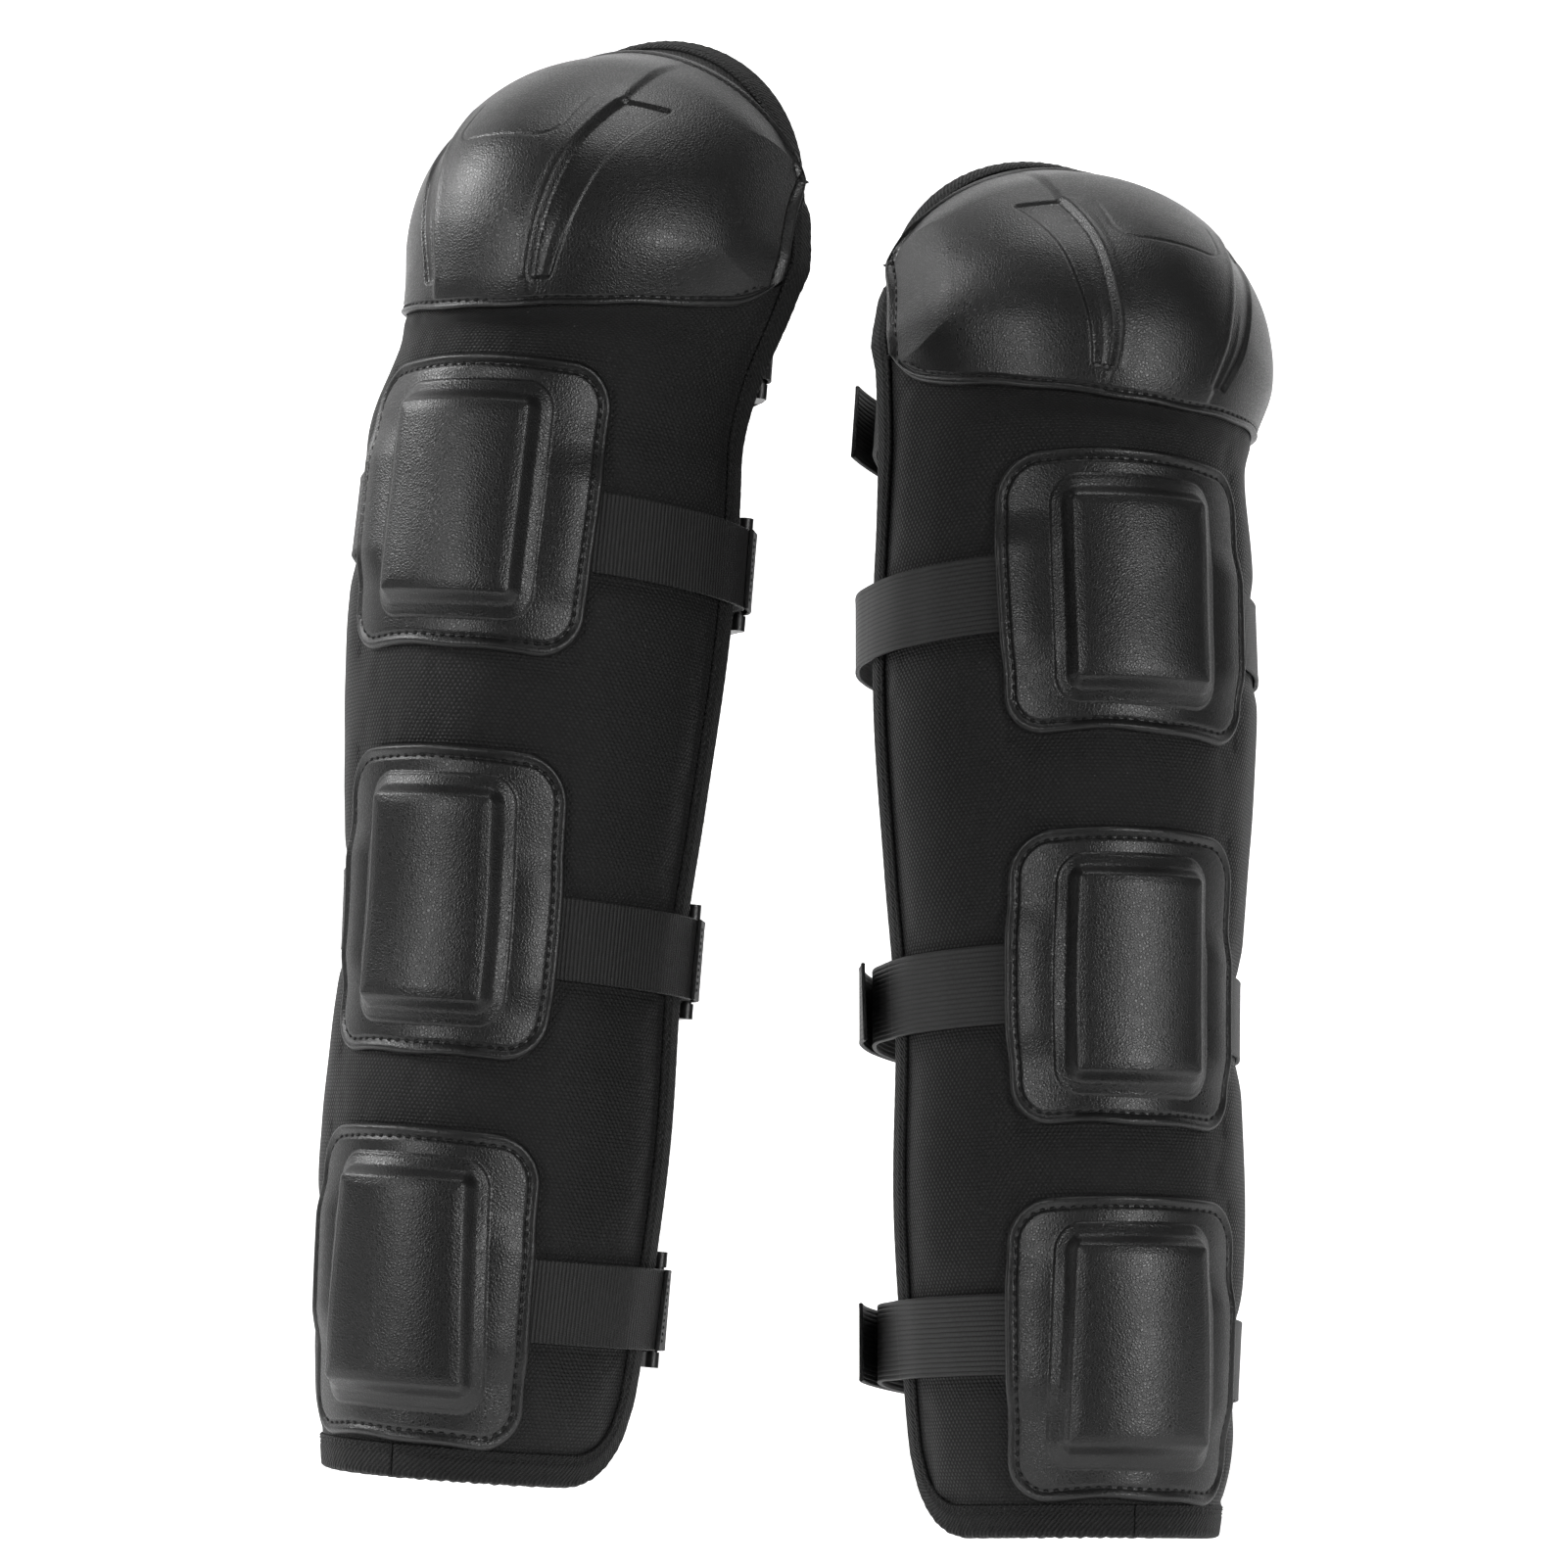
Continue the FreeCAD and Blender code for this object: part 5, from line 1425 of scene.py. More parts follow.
# ------------------------------------------------------------------ the binding
@dataclass
class Binding(SewnPart):
    """The twill tape folded over the whole edge of the wrap, with two rows of stitches."""

    width: float = 10.0
    thickness: float = 1.1
    bulge: float = 2.3
    stitch_rows: tuple[float, ...] = (6.9, 8.5)
    stations: int = 1500

    def route(self) -> tuple[Array, Array]:
        """Walk the whole edge: hem, right edge, rim, left edge and back to the hem.

        Returns:
            Angles and girths at even steps along the edge.
        """
        half_hem = np.linspace(0.0, 88.0, 140)
        low = hem_low(half_hem)
        edge = np.linspace(HEM_CORNER, FORM.rim - 9.0, 300)
        rim = np.linspace(86.0, 0.0, 160)
        theta = np.concatenate([half_hem, np.full(300, 90.0), rim])
        v = np.concatenate([low, edge, np.full(160, FORM.rim)])
        theta = np.concatenate([theta, -theta[-2::-1]])
        v = np.concatenate([v, v[-2::-1]])
        line = self.guard.own(theta, v, 0.0)
        at = arc_lengths(line)
        wanted = np.linspace(0.3, at[-1] - 0.3, self.stations)
        return np.interp(wanted, at, theta), np.interp(wanted, at, v)

    def nearest(self, target: Array, theta: Array, v: Array) -> tuple[Array, Array]:
        """Find the places on the face nearest to target points, from first guesses."""
        for _ in range(14):
            here = self.guard.own(theta, v, 0.0)
            side_way = (self.guard.own(theta + 0.1, v, 0.0) - here) / 0.1
            girth_way = (self.guard.own(theta, v + 0.1, 0.0) - here) / 0.1
            gap = target - here
            aa, bb = (side_way**2).sum(-1), (girth_way**2).sum(-1)
            ab = (side_way * girth_way).sum(-1)
            pa, pb = (gap * side_way).sum(-1), (gap * girth_way).sum(-1)
            spread = aa * bb * 1.0001 - ab * ab
            theta = np.clip(theta + np.clip((pa * bb - pb * ab) / spread, -4, 4), -90, 90)
            v = np.clip(v + np.clip((pb * aa - pa * ab) / spread, -12, 12), 0, FORM.rim)
        return theta, v

    def build(self) -> None:
        """Build the tape and its thread."""
        theta, v = self.route()
        line = self.guard.own(theta, v, 0.0)
        normal = unit(self.guard.own(theta, v, 1.0) - line)
        along = unit(np.gradient(line, axis=0))
        for _ in range(6):
            along = unit(along + np.roll(along, 1, 0) * 0.5 + np.roll(along, -1, 0) * 0.5)
        inward = unit(np.cross(normal, along))
        reaches = np.linspace(0.0, 1.0, 15) ** 0.8 * self.width
        places = [(theta, v)]
        for reach in reaches[1:]:
            places.append(self.nearest(line + inward * reach, *places[-1]))
        distance = arc_lengths(line)
        rings, around = self.rings(line, normal, inward, places, reaches, distance)
        uvs = np.stack(np.broadcast_arrays(distance[:, None], around[None, :]), -1)
        maker = self.maker("binding_tape")
        maker.add_tube(self.guard.into_frame(rings), uvs)
        self.dress(maker, ["tape"], "binding_tape", "edge_binding")
        self.thread(places, reaches)

    def rings(
        self,
        line: Array,
        normal: Array,
        inward: Array,
        places: Sequence[tuple[Array, Array]],
        reaches: Array,
        distance: Array,
    ) -> tuple[Array, Array]:
        """Make the tape's sections along the edge.

        Args:
            line: the wrap's edge in the guard's own frame.
            normal: outward directions of the face there.
            inward: directions over the face, away from the edge.
            places: angle and girth at each reach in from the edge.
            reaches: distances in from the edge, mm.
            distance: length along the edge, mm.

        Returns:
            The section points, and each one's distance round the tape in mm.
        """
        thin = self.thickness
        dip = sum(bell(reaches - row, 0.75) for row in self.stitch_rows)
        height = thin * (1.0 - 0.42 * dip) * np.where(reaches > self.width - 0.3, 0.45, 1.0)
        gathers = 0.16 * np.sin(distance * 2 * np.pi / 4.1) + 0.1 * np.sin(distance * 0.83 + 1.1)
        points, around = [], []
        lifts = [
            SEAM_GAP + tall_here + gathers * 0.6 * smooth((6.0 - reach) / 6.0)
            for tall_here, reach in zip(height, reaches)
        ]
        for k in reversed(range(len(reaches))):
            points.append(self.guard.own(*places[k], lifts[k]))
            around.append(-reaches[k])
        middle = line - normal * (WRAP / 2)
        tall = WRAP / 2 + SEAM_GAP + thin
        for angle in np.radians(np.linspace(80.0, -80.0, 15)):
            reach = (self.bulge + gathers * 1.3) * abs(math.cos(angle)) ** 0.55
            level = tall * math.copysign(abs(math.sin(angle)) ** 0.75, angle)
            points.append(middle + normal * level - inward * reach[:, None])
            around.append(5.0 - 5.0 * math.sin(angle))
        for k in range(len(reaches)):
            points.append(self.guard.own(*places[k], -WRAP - lifts[k]))
            around.append(10.0 + reaches[k])
        for k in range(len(reaches) - 1, -1, -2):
            points.append(self.guard.own(*places[k], -WRAP - SEAM_GAP * 0.5))
            around.append(20.0 + self.width - reaches[k])
        for angle in np.radians(np.linspace(-70.0, 70.0, 7)):
            reach = 0.25 + 0.5 * abs(math.cos(angle)) ** 0.6
            level = (WRAP / 2 + SEAM_GAP) * math.copysign(abs(math.sin(angle)) ** 0.6, angle)
            points.append(middle + normal * level - inward * reach)
            around.append(31.0)
        for k in range(0, len(reaches), 2):
            points.append(self.guard.own(*places[k], SEAM_GAP * 0.5))
            around.append(32.0 + reaches[k])
        return np.stack(points, 1), np.array(around)

    def thread(self, places: Sequence[tuple[Array, Array]], reaches: Array) -> None:
        """Build both rows of stitches, outside and inside."""
        maker = self.maker("binding_stitches")
        both = np.array(places)
        for row in self.stitch_rows:
            k = int(np.searchsorted(reaches, row)) - 1
            share = (row - reaches[k]) / (reaches[k + 1] - reaches[k])
            theta, v = both[k] + (both[k + 1] - both[k]) * share
            normals = self.guard.skin_normal(theta, v)
            top = SEAM_GAP + self.thickness * 0.62
            TAPE_STITCH.add_row(maker, self.guard.skin(theta, v, top), normals)
            TAPE_STITCH.add_row(maker, self.guard.skin(theta, v, -WRAP - top), -normals)
        self.dress(maker, ["thread"], "binding_tape")


# ------------------------------------------------------------------ the knee cup
@dataclass
class KneeCup(SewnPart):
    """The pressed leathercloth cup over the knee and the foam pad inside it."""

    def build(self) -> None:
        """Build the cup, its seam and its pad."""
        self.shell()
        self.seam()
        self.pad()

    def offset(self, theta: Array, v: Array) -> Array:
        """Give the cup's outer face above the wrap, mm."""
        depth = CupForm.depth(theta, v)
        rise = CupForm.GAP + CupForm.THICKNESS + CupForm.pad(theta, v) + CupForm.lap(theta, v)
        rise = rise + CupForm.relief(theta, v) - CupForm.panel(theta, v)
        rise = rise - 1.7 * edge_fall(depth, 1.6) ** 2.2
        rise = rise + 0.35 * bell(depth - 2.0, 1.1) - 0.75 * bell(depth - 4.6, 1.0)
        x = FORM.width(theta, v)
        drift = 0.22 * np.sin(x * 0.075 + 1.3) * np.sin(v * 0.058 + self.guard.seed)
        return rise + drift * smooth(depth / 12.0)

    def shell(self) -> None:
        """Build the cup itself."""
        half = CupForm.HALF_ANGLE
        theta = spread_grid(-half, half, 460, 0.55)[:, None]
        low = CupForm.bottom(theta)
        share = spread_grid(0.0, 1.0, 340, 0.6)[None, :]
        v = low + (CupForm.TOP - low) * share
        theta = np.broadcast_to(theta, v.shape)
        x = FORM.width(theta, v)
        wave = 0.7 * np.sin(x * 0.06 + self.guard.seed) + 0.4 * np.sin(x * 0.19 + 2.0)
        hem = np.exp(-((v - low) / 9.0))
        moved = v + wave * hem
        outer = self.guard.skin(theta, moved, self.offset(theta, v))
        under = CupForm.GAP + CupForm.pad(theta, v) + CupForm.lap(theta, v)
        depth = CupForm.depth(theta, v)
        under = under + 0.35 * edge_fall(depth, 1.2) ** 2
        inner = self.guard.skin(theta, moved, under)
        maker = self.maker("cup_shell")
        # The walls take the second slot, the cut edge leather painted lighter as a highlight.
        maker.add_slab(outer, inner, np.stack([x, v], -1), wall_slot=1)
        self.dress(maker, ["leather", "rim"], "moulded_leather", "knee_cup")

    def seam(self) -> None:
        """Build the thread that runs round the cup inside its edge."""
        inset, half = 4.6, CupForm.HALF_ANGLE
        side = half - float(FORM.angle(inset, 470.0))
        corner = np.linspace(0.0, 1.0, 14)[1:-1] * np.pi / 2
        ahead, bend = np.sin(corner), 1 - np.cos(corner)
        theta = np.linspace(-side + 5.0, side - 5.0, 260)
        low = CupForm.bottom(theta * half / side) + inset
        rise = np.linspace(float(low[-1]) + 6.0, CupForm.TOP - inset - 9.0, 90)
        flanks = half - np.degrees(inset / FORM.radius(rise))
        top = np.linspace(side - 6.0, -side + 6.0, 260)
        low_turn = theta[-1] + (flanks[0] - theta[-1]) * ahead
        low_rise = low[-1] + (rise[0] - low[-1]) * bend
        top_turn = flanks[-1] + (top[0] - flanks[-1]) * bend
        top_rise = rise[-1] + (CupForm.TOP - inset - rise[-1]) * ahead
        line_theta = np.concatenate([theta, low_turn, flanks, top_turn, top])
        line_v = np.concatenate([low, low_rise, rise, top_rise, np.full(260, CupForm.TOP - inset)])
        flank_end = 260 + 2 * len(corner) + len(flanks)
        mirror = slice(flank_end - 1, 260 - 1, -1)
        line_theta = np.concatenate([line_theta, -line_theta[mirror]])
        line_v = np.concatenate([line_v, line_v[mirror]])
        surface = self.offset(line_theta, line_v)
        maker = self.maker("cup_stitches")
        line = self.guard.skin(line_theta, line_v, surface)
        EDGE_STITCH.add_row(maker, line, self.guard.skin_normal(line_theta, line_v))
        self.dress(maker, ["thread"], "moulded_leather")

    def pad(self) -> None:
        """Build the foam pad inside the cup."""
        margin = 9.0
        half = CupForm.HALF_ANGLE - float(FORM.angle(margin + CupForm.CORNER, CupForm.BOTTOM))
        theta = np.linspace(-half, half, 80)[:, None]
        v = np.linspace(CupForm.BOTTOM + margin, CupForm.TOP - margin, 70)[None, :]
        theta, v = np.broadcast_arrays(theta, v)
        x = FORM.width(theta, v)
        top = CupForm.GAP - SEAM_GAP + CupForm.pad(theta, v) - 0.05 * (1 + np.sin(x * 0.2))
        outs = (np.maximum(top, SEAM_GAP + 0.3), SEAM_GAP)
        maker = self.layer("cup_pad", (theta, v, np.stack([x, v], -1)), outs)
        self.dress(maker, ["foam"], "foam", "knee_cup_pad", 0.95)


# ------------------------------------------------------------------ the shin plates
@dataclass
class ShinPlate(SewnPart):
    """One pressed plate with its raised pad, its seam and the foam block inside."""

    form: PlateForm

    def build(self) -> None:
        """Build the plate, its seam and its insert."""
        self.shell()
        self.seam()
        self.insert()

    def offset(self, x: Array, v: Array) -> Array:
        """Give the plate's outer face above the wrap, mm."""
        form, depth = self.form, self.form.depth(x, v)
        rise = SEAM_GAP + form.THICKNESS + form.pad_rise(x, v) + form.strap_room(x, v)
        rise = rise - 1.5 * edge_fall(depth, 1.5) ** 2.2
        rise = rise + 0.4 * bell(depth - 1.9, 1.0) - 0.7 * bell(depth - 4.4, 0.9)
        rng = np.random.default_rng(self.guard.seed * 7 + len(form.name))
        places = np.stack([x, v], -1)
        drift = 0.13 * chance_waves(places, rng, count=4, pace=0.07, swing=6.0)
        return rise + drift * smooth(depth / 8.0)

    def curl(self, x: Array, v: Array) -> Array:
        """Give how far the plate's free edge has lifted off the cover, mm."""
        depth = self.form.depth(x, v)
        rng = np.random.default_rng(self.guard.seed + len(self.form.name) * 3)
        phase = rng.uniform(0.0, 6.0, 2)
        wave = 0.5 + 0.5 * np.sin(x * 0.085 + v * 0.06 + phase[0])
        wave = wave * (0.6 + 0.4 * np.sin(x * 0.21 - v * 0.1 + phase[1]))
        return 0.55 * wave * edge_fall(depth, 4.4) ** 1.5

    def place(self, x: Array, v: Array, out: Array) -> Array:
        """Give frame points over the wrap, with the hem's slow wave."""
        seed = self.guard.seed + len(self.form.name)
        wave = 0.9 * np.sin(x * 0.062 + seed) + 0.35 * np.sin(x * 0.17 + 1.0 + seed)
        low = np.exp(-np.maximum(v - self.form.bottom, 0.0) / 10.0)
        moved = v + wave * low
        return self.guard.skin(FORM.angle(x, v), moved, out)

    def shell(self) -> None:
        """Build the plate itself."""
        u = spread_grid(-1.0, 1.0, 250, 0.35)[:, None]
        w = spread_grid(-1.0, 1.0, 230, 0.45)[None, :]
        x, v = self.form.point(u, w)
        curl = self.curl(x, v)
        outer = self.place(x, v, self.offset(x, v) + curl)
        depth = self.form.depth(x, v)
        under = SEAM_GAP + self.form.pad_rise(x, v) * smooth((depth - 8.0) / 4.0)
        under = under + self.form.strap_room(x, v) + curl
        under = np.minimum(under, self.offset(x, v) + curl - 0.25)
        under = under + 0.3 * edge_fall(depth, 1.2) ** 2
        inner = self.place(x, v, under)
        maker = self.maker(f"{self.form.name}_plate_shell")
        # The walls take the second slot, the cut edge leather painted lighter as a highlight.
        maker.add_slab(outer, inner, np.stack([x, v], -1), wall_slot=1)
        node = f"{self.form.name}_shin_plate"
        self.dress(maker, ["leather", "rim"], "moulded_leather", node)

    def seam(self) -> None:
        """Build the thread that holds the plate to the cover."""
        form, inset = self.form, 4.4
        scale_x = 1.0 - inset / (0.5 * (form.bottom_half + form.top_half))
        half_height = 0.5 * (form.top - form.bottom)
        wide, tall = np.linspace(-1, 1, 300), np.linspace(-1, 1, 200)
        u = np.concatenate([wide, np.ones(200), -wide, -np.ones(200)])
        w = np.concatenate([-np.ones(300), tall, np.ones(300), -tall])
        x, v = form.point(u, w)
        middle = 0.5 * (form.top + form.bottom)
        x, v = x * scale_x, middle + (v - middle) * (1.0 - inset / half_height)
        for _ in range(5):
            step = 0.3
            gap = form.depth(x, v) - inset
            gx = (form.depth(x + step, v) - form.depth(x - step, v)) / (2 * step)
            gv = (form.depth(x, v + step) - form.depth(x, v - step)) / (2 * step)
            size = np.maximum(gx**2 + gv**2, 0.3)
            x, v = x - gap * gx / size, v - gap * gv / size
        line = self.place(x, v, self.offset(x, v) + self.curl(x, v))
        keep = np.concatenate([[True], np.linalg.norm(np.diff(line, axis=0), axis=1) > 1e-5])
        line, x, v = line[keep], x[keep], v[keep]
        normals = self.guard.skin_normal(FORM.angle(x, v), v)
        maker = self.maker(f"{self.form.name}_plate_stitches")
        EDGE_STITCH.add_row(maker, line, normals)
        self.dress(maker, ["thread"], "moulded_leather")

    def insert(self) -> None:
        """Build the foam block that fills the raised pad."""
        form, margin = self.form, 3.5
        half = form.pad_half - margin
        x = np.linspace(-half, half, 60)[:, None]
        v = np.linspace(
            form.pad_bottom + form.CROWN + margin, form.pad_top + form.CROWN - margin, 70
        )[None, :]
        x, v = np.broadcast_arrays(x, v)
        top = np.maximum(form.pad_rise(x, v) - 0.35, 0.0) * smooth((form.pad_depth(x, v) - 2) / 5)
        top = np.maximum(top - 0.06 * (1.0 + np.sin(x * 0.3) * np.sin(v * 0.25)), SEAM_GAP + 0.3)
        place = (FORM.angle(x, v), v, np.stack([x, v], -1))
        maker = self.layer(f"{form.name}_insert_block", place, (top, SEAM_GAP))
        self.dress(maker, ["foam"], "foam", f"{form.name}_plate_insert", 0.98)


# ------------------------------------------------------------------ straps
SOCKET_LENGTH = 34.0
PLUG_LENGTH = 21.0
BAR_RADIUS = 2.0
SLIDE_CLEARANCE = 0.35
BUCKLE_LEAD = 2.5
WEBBING_RETURN = 16.0
TURN_RADIUS = 16.0
EDGE_LEAD = 3.0
EDGE_CLEAR = SEAM_GAP + 1.1 + 0.5
EDGE_RAMP = 26.0
KNEE_STRAP_LIFT = 0.8
TAIL_END_LIFT = 7.0
LOOP_RADIUS = BAR_RADIUS + SLIDE_CLEARANCE + STRAP_THICK / 2
LAYER_PITCH = STRAP_THICK + SLIDE_CLEARANCE
UP = np.array([0.0, 0.0, 1.0])


@dataclass
class Station:
    """One place along a strap: its middle, its width's way, its outward way."""

    origin: Array
    across: Array
    normal: Array
    freedom: float


class BackPath:
    """A strap's plan behind the leg, measured from the wrap's right edge."""

    def __init__(self, strap: StrapForm, right: Station, left: Station) -> None:
        """Work out the runs and turns between the two edges.

        Args:
            strap: which strap.
            right: the strap's station at the wrap's right edge.
            left: the strap's station at the wrap's left edge.
        """
        tilt = math.radians(50.0)
        self.strap = strap
        self.half = float(right.origin[0])
        self.leans = (right.across, left.across)
        self.turn = TURN_RADIUS * tilt
        self.straight = SOCKET_LENGTH + PLUG_LENGTH + 2 * BUCKLE_LEAD
        x = self.half - TURN_RADIUS * (1 - math.cos(tilt)) - self.straight * math.sin(tilt)
        self.radius = (x + self.half) / (1 + math.cos(tilt))
        self.sweep = self.radius * (math.pi - tilt)
        y = EDGE_LEAD + TURN_RADIUS * math.sin(tilt) + self.straight * math.cos(tilt)
        self.drop = y - self.radius * math.sin(tilt)
        self.length = EDGE_LEAD + self.turn + self.straight + self.sweep + self.drop

    def plan(self, s: float) -> tuple[float, float, float]:
        """Give x, y and the heading, from +y towards -x, at length s."""
        x, y, heading = self.half, EDGE_BACK, 0.0
        lengths = (EDGE_LEAD, self.turn, self.straight, self.sweep, self.drop)
        for length, radius in zip(lengths, (0.0, TURN_RADIUS, 0.0, self.radius, 0.0)):
            part = min(s, length)
            if radius:
                after = heading + part / radius
                x += radius * (math.cos(after) - math.cos(heading))
                y += radius * (math.sin(after) - math.sin(heading))
                heading = after
            else:
                x -= part * math.sin(heading)
                y += part * math.cos(heading)
            s -= part
            if s <= 0.0:
                break
        return x, y, heading

    def station(self, s: float, out: float = 0.0) -> Station:
        """Give the station at length s, out mm outside the path."""
        x, y, heading = self.plan(s)
        normal = np.array([math.cos(heading), math.sin(heading), 0.0])
        share = smooth((s - EDGE_LEAD - self.turn - self.straight) / self.sweep)
        z = self.strap.height + STRAP_RISE * float(share)
        to_left = self.length - s
        lean = self.leans[0] if s < to_left else self.leans[1]
        freedom = float(smooth(min(s, to_left) / (EDGE_LEAD + self.turn)))
        across = unit(lean * (1.0 - freedom) + UP * freedom)
        return Station(np.array([x, y, z]) + normal * out, across, normal, freedom)


@dataclass
class Strap(SewnPart):
    """One strap of a guard: the short webbing, the long elastic and their sewing."""

    form: StrapForm

    def __post_init__(self) -> None:
        """Lay out the path behind the leg."""
        self.path = BackPath(self.form, self.side(1)[-1], self.side(-1)[-1])
        self.socket_bar = EDGE_LEAD + self.path.turn + BUCKLE_LEAD + BAR_RADIUS
        plug_bar = EDGE_LEAD + self.path.turn + BUCKLE_LEAD + SOCKET_LENGTH + PLUG_LENGTH
        self.plug_bar = plug_bar + SLIDE_CLEARANCE - BAR_RADIUS

    def side(self, side: int, count: int = 60) -> list[Station]:
        """Give the stations on the wrap, from the sewn end to the edge."""
        height = self.form.height + (STRAP_RISE if side < 0 else 0.0)
        half = 0.5 * STRAP_THICK
        if self.form.plate is None:
            start = 90.0 - float(FORM.angle(20.0, height))
        else:
            start = float(FORM.angle(self.form.sewn_width(), height))
        theta = np.linspace(start, 90.0, count)
        if self.form.plate is None:
            out = np.full(count, -WRAP - EDGE_CLEAR - KNEE_STRAP_LIFT - half)
        else:
            share = smooth((theta - 90.0 + EDGE_RAMP) / (0.6 * EDGE_RAMP))
            out = half + STRAP_LIFT + (EDGE_CLEAR - STRAP_LIFT) * share
        widen = np.array([self.guard.spread, 1.0, 1.0])
        here = FORM.face(side * theta, height, out) * widen
        beyond = FORM.face(side * theta, height, out + 1.0) * widen
        above = FORM.face(side * theta, height + 1.0, out) * widen
        across, normal = unit(above - here), unit(beyond - here)
        return [Station(here[k], across[k], normal[k], 0.0) for k in range(count)]

    def round_bar(self, at: float, heading: int) -> list[Station]:
        """Give the stations round a buckle's bar, from inside it to outside."""
        hub = self.path.station(at, LOOP_RADIUS)
        along = np.cross(hub.across, hub.normal) * heading
        stations = []
        for a in np.linspace(0.0, math.pi, 26)[1:-1]:
            out = along * math.sin(a) - hub.normal * math.cos(a)
            stations.append(Station(hub.origin + out * LOOP_RADIUS, hub.across, -out, hub.freedom))
        return stations

    def laid_back(self, s: float, run: float, settle: float, lift: float = 0.0) -> Station:
        """Give a station of the end that is folded back over the strap.

        Args:
            s: its place along the path.
            run: how far it is from the bar, mm.
            settle: the run over which it comes down on the strap, mm.
            lift: how far it stands off the strap again, mm.

        Returns:
            The station, facing inwards.
        """
        drop = (2 * LOOP_RADIUS - LAYER_PITCH) * float(smooth(run / settle))
        here = self.path.station(s, 2 * LOOP_RADIUS - drop + lift)
        return Station(here.origin, here.across, -here.normal, here.freedom)

    def webbing_line(self) -> list[Station]:
        """Give the webbing's stations: sewn end, edge, socket bar and the sewn-back end."""
        stations = self.side(1)[:-1]
        stations += [self.path.station(s) for s in np.arange(0.0, self.socket_bar, 0.7)]
        stations += self.round_bar(self.socket_bar, 1)
        settle = WEBBING_RETURN * 10.0 / 12.0
        for run in np.linspace(0.0, WEBBING_RETURN, 26):
            stations.append(self.laid_back(self.socket_bar - run, run, settle))
        return stations

    def elastic_line(self) -> list[Station]:
        """Give the elastic's stations: sewn end, round the back, plug bar and tail."""
        stations = self.side(-1)[:-1]
        run = np.linspace(self.path.length, self.plug_bar, 260)
        stations += [self.path.station(float(s)) for s in run[:-1]]
        stations += self.round_bar(self.plug_bar, -1)
        for run in np.linspace(0.0, self.form.tail, 130):
            lift = TAIL_END_LIFT * max(run / self.form.tail - 0.55, 0.0) ** 2 / 0.2
            stations.append(self.laid_back(self.plug_bar + run, run, WEBBING_RETURN, lift))
        return stations

    def placed(self, stations: Sequence[Station]) -> tuple[Array, Array, Array]:
        """Bend stations with the guard.

        Args:
            stations: places in the straight guard's frame.

        Returns:
            Middles, width directions and outward directions, in mm.
        """
        origin, across, normal, freedom = (
            np.stack([getattr(station, part) for station in stations])
            for part in ("origin", "across", "normal", "freedom")
        )
        freedom = freedom[:, None]
        here = self.guard.bend(origin)
        held = unit(self.guard.bend(origin + across) - here)
        share = self.guard.bend_share(origin[:, 2])
        free = self.guard.bend_turn(across, share)
        width_way = unit(held * (1.0 - freedom) + free * freedom)
        return here, width_way, self.guard.bend_turn(normal, share)

    def band(self, name: str, stations: Sequence[Station]) -> MeshMaker:
        """Sweep the strap's flat section along its stations."""
        here, wide, out = self.placed(stations)
        wide, out = smoothed(wide), smoothed(out)
        out = unit(out - wide * (out * wide).sum(-1, keepdims=True))
        half, thick = STRAP_WIDTH / 2, STRAP_THICK / 2
        flat = np.linspace(-1.0, 1.0, 13)
        flat = np.sin(flat * math.pi / 2) * (half - 0.5)
        cap = np.radians(np.linspace(80.0, -80.0, 6))
        across = np.concatenate(
            [flat, half - 0.55 + 0.55 * np.cos(cap), flat[::-1], -half + 0.55 - 0.55 * np.cos(cap)]
        )
        level = np.concatenate(
            [np.full(13, thick), thick * np.sin(cap), np.full(13, -thick), -thick * np.sin(cap)]
        )
        selvedge = 0.12 * bell(half - np.abs(across), 1.3)
        level = level + np.sign(level) * selvedge * (np.abs(level) > 0.5)
        along = arc_lengths(here)
        ripple = 0.1 * np.sin(along * 0.23 + self.guard.seed) * np.sin(along * 0.071)
        rings = here[:, None] + wide[:, None] * across[None, :, None]
        rings = rings + out[:, None] * (level[None, :] + ripple[:, None])[..., None]
        around = across + np.where(level < 0, 40.0, 0.0)
        uvs = np.stack(np.broadcast_arrays(along[:, None], around[None, :]), -1)
        maker = self.maker(f"{self.form.name}_{name}")
        maker.add_tube(self.guard.into_frame(rings), uvs)
        return maker

    def tacks(self) -> None:
        """Build the rows of thread that hold the webbing's turned-back end."""
        maker = self.maker(f"{self.form.name}_tack_stitches")
        top = LAYER_PITCH + STRAP_THICK / 2
        for back in (8.5, 11.0, 13.5):
            station = self.path.station(self.socket_bar - back, top)
            here, wide, out = self.placed([station])
            widths = np.linspace(-12.5, 12.5, 12)[:, None]
            line = self.guard.into_frame(here + wide * widths)
            turned = out @ self.guard.turning().T
            TACK_STITCH.add_row(maker, line, np.repeat(turned, 12, 0))
        self.dress(maker, ["thread"], "webbing")

    def build(self) -> None:
        """Build webbing, elastic and tacks."""
        stem = f"{self.guard.name}_{self.form.name}"
        webbing = self.band("webbing_band", self.webbing_line())
        self.dress(webbing, ["webbing"], "webbing", f"{self.form.name}_webbing")
        elastic = self.band("elastic_band", self.elastic_line()).make([self.wardrobe["elastic"]])
        far = self.path.station(self.plug_bar + 0.55 * (self.path.length - self.plug_bar))
        near = self.path.station(self.plug_bar + 7.0)
        ends = self.guard.into_frame(self.placed([far, near])[0])
        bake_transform(elastic)
        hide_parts(f"{stem}_elastic_strap")
        self.tacks()


def smoothed(vectors: Array, rounds: int = 3) -> Array:
    """Even out directions along a line."""
    for _ in range(rounds):
        inner = 0.25 * vectors[:-2] + 0.5 * vectors[1:-1] + 0.25 * vectors[2:]
        vectors = np.concatenate([vectors[:1], unit(inner), vectors[-1:]])
    return vectors


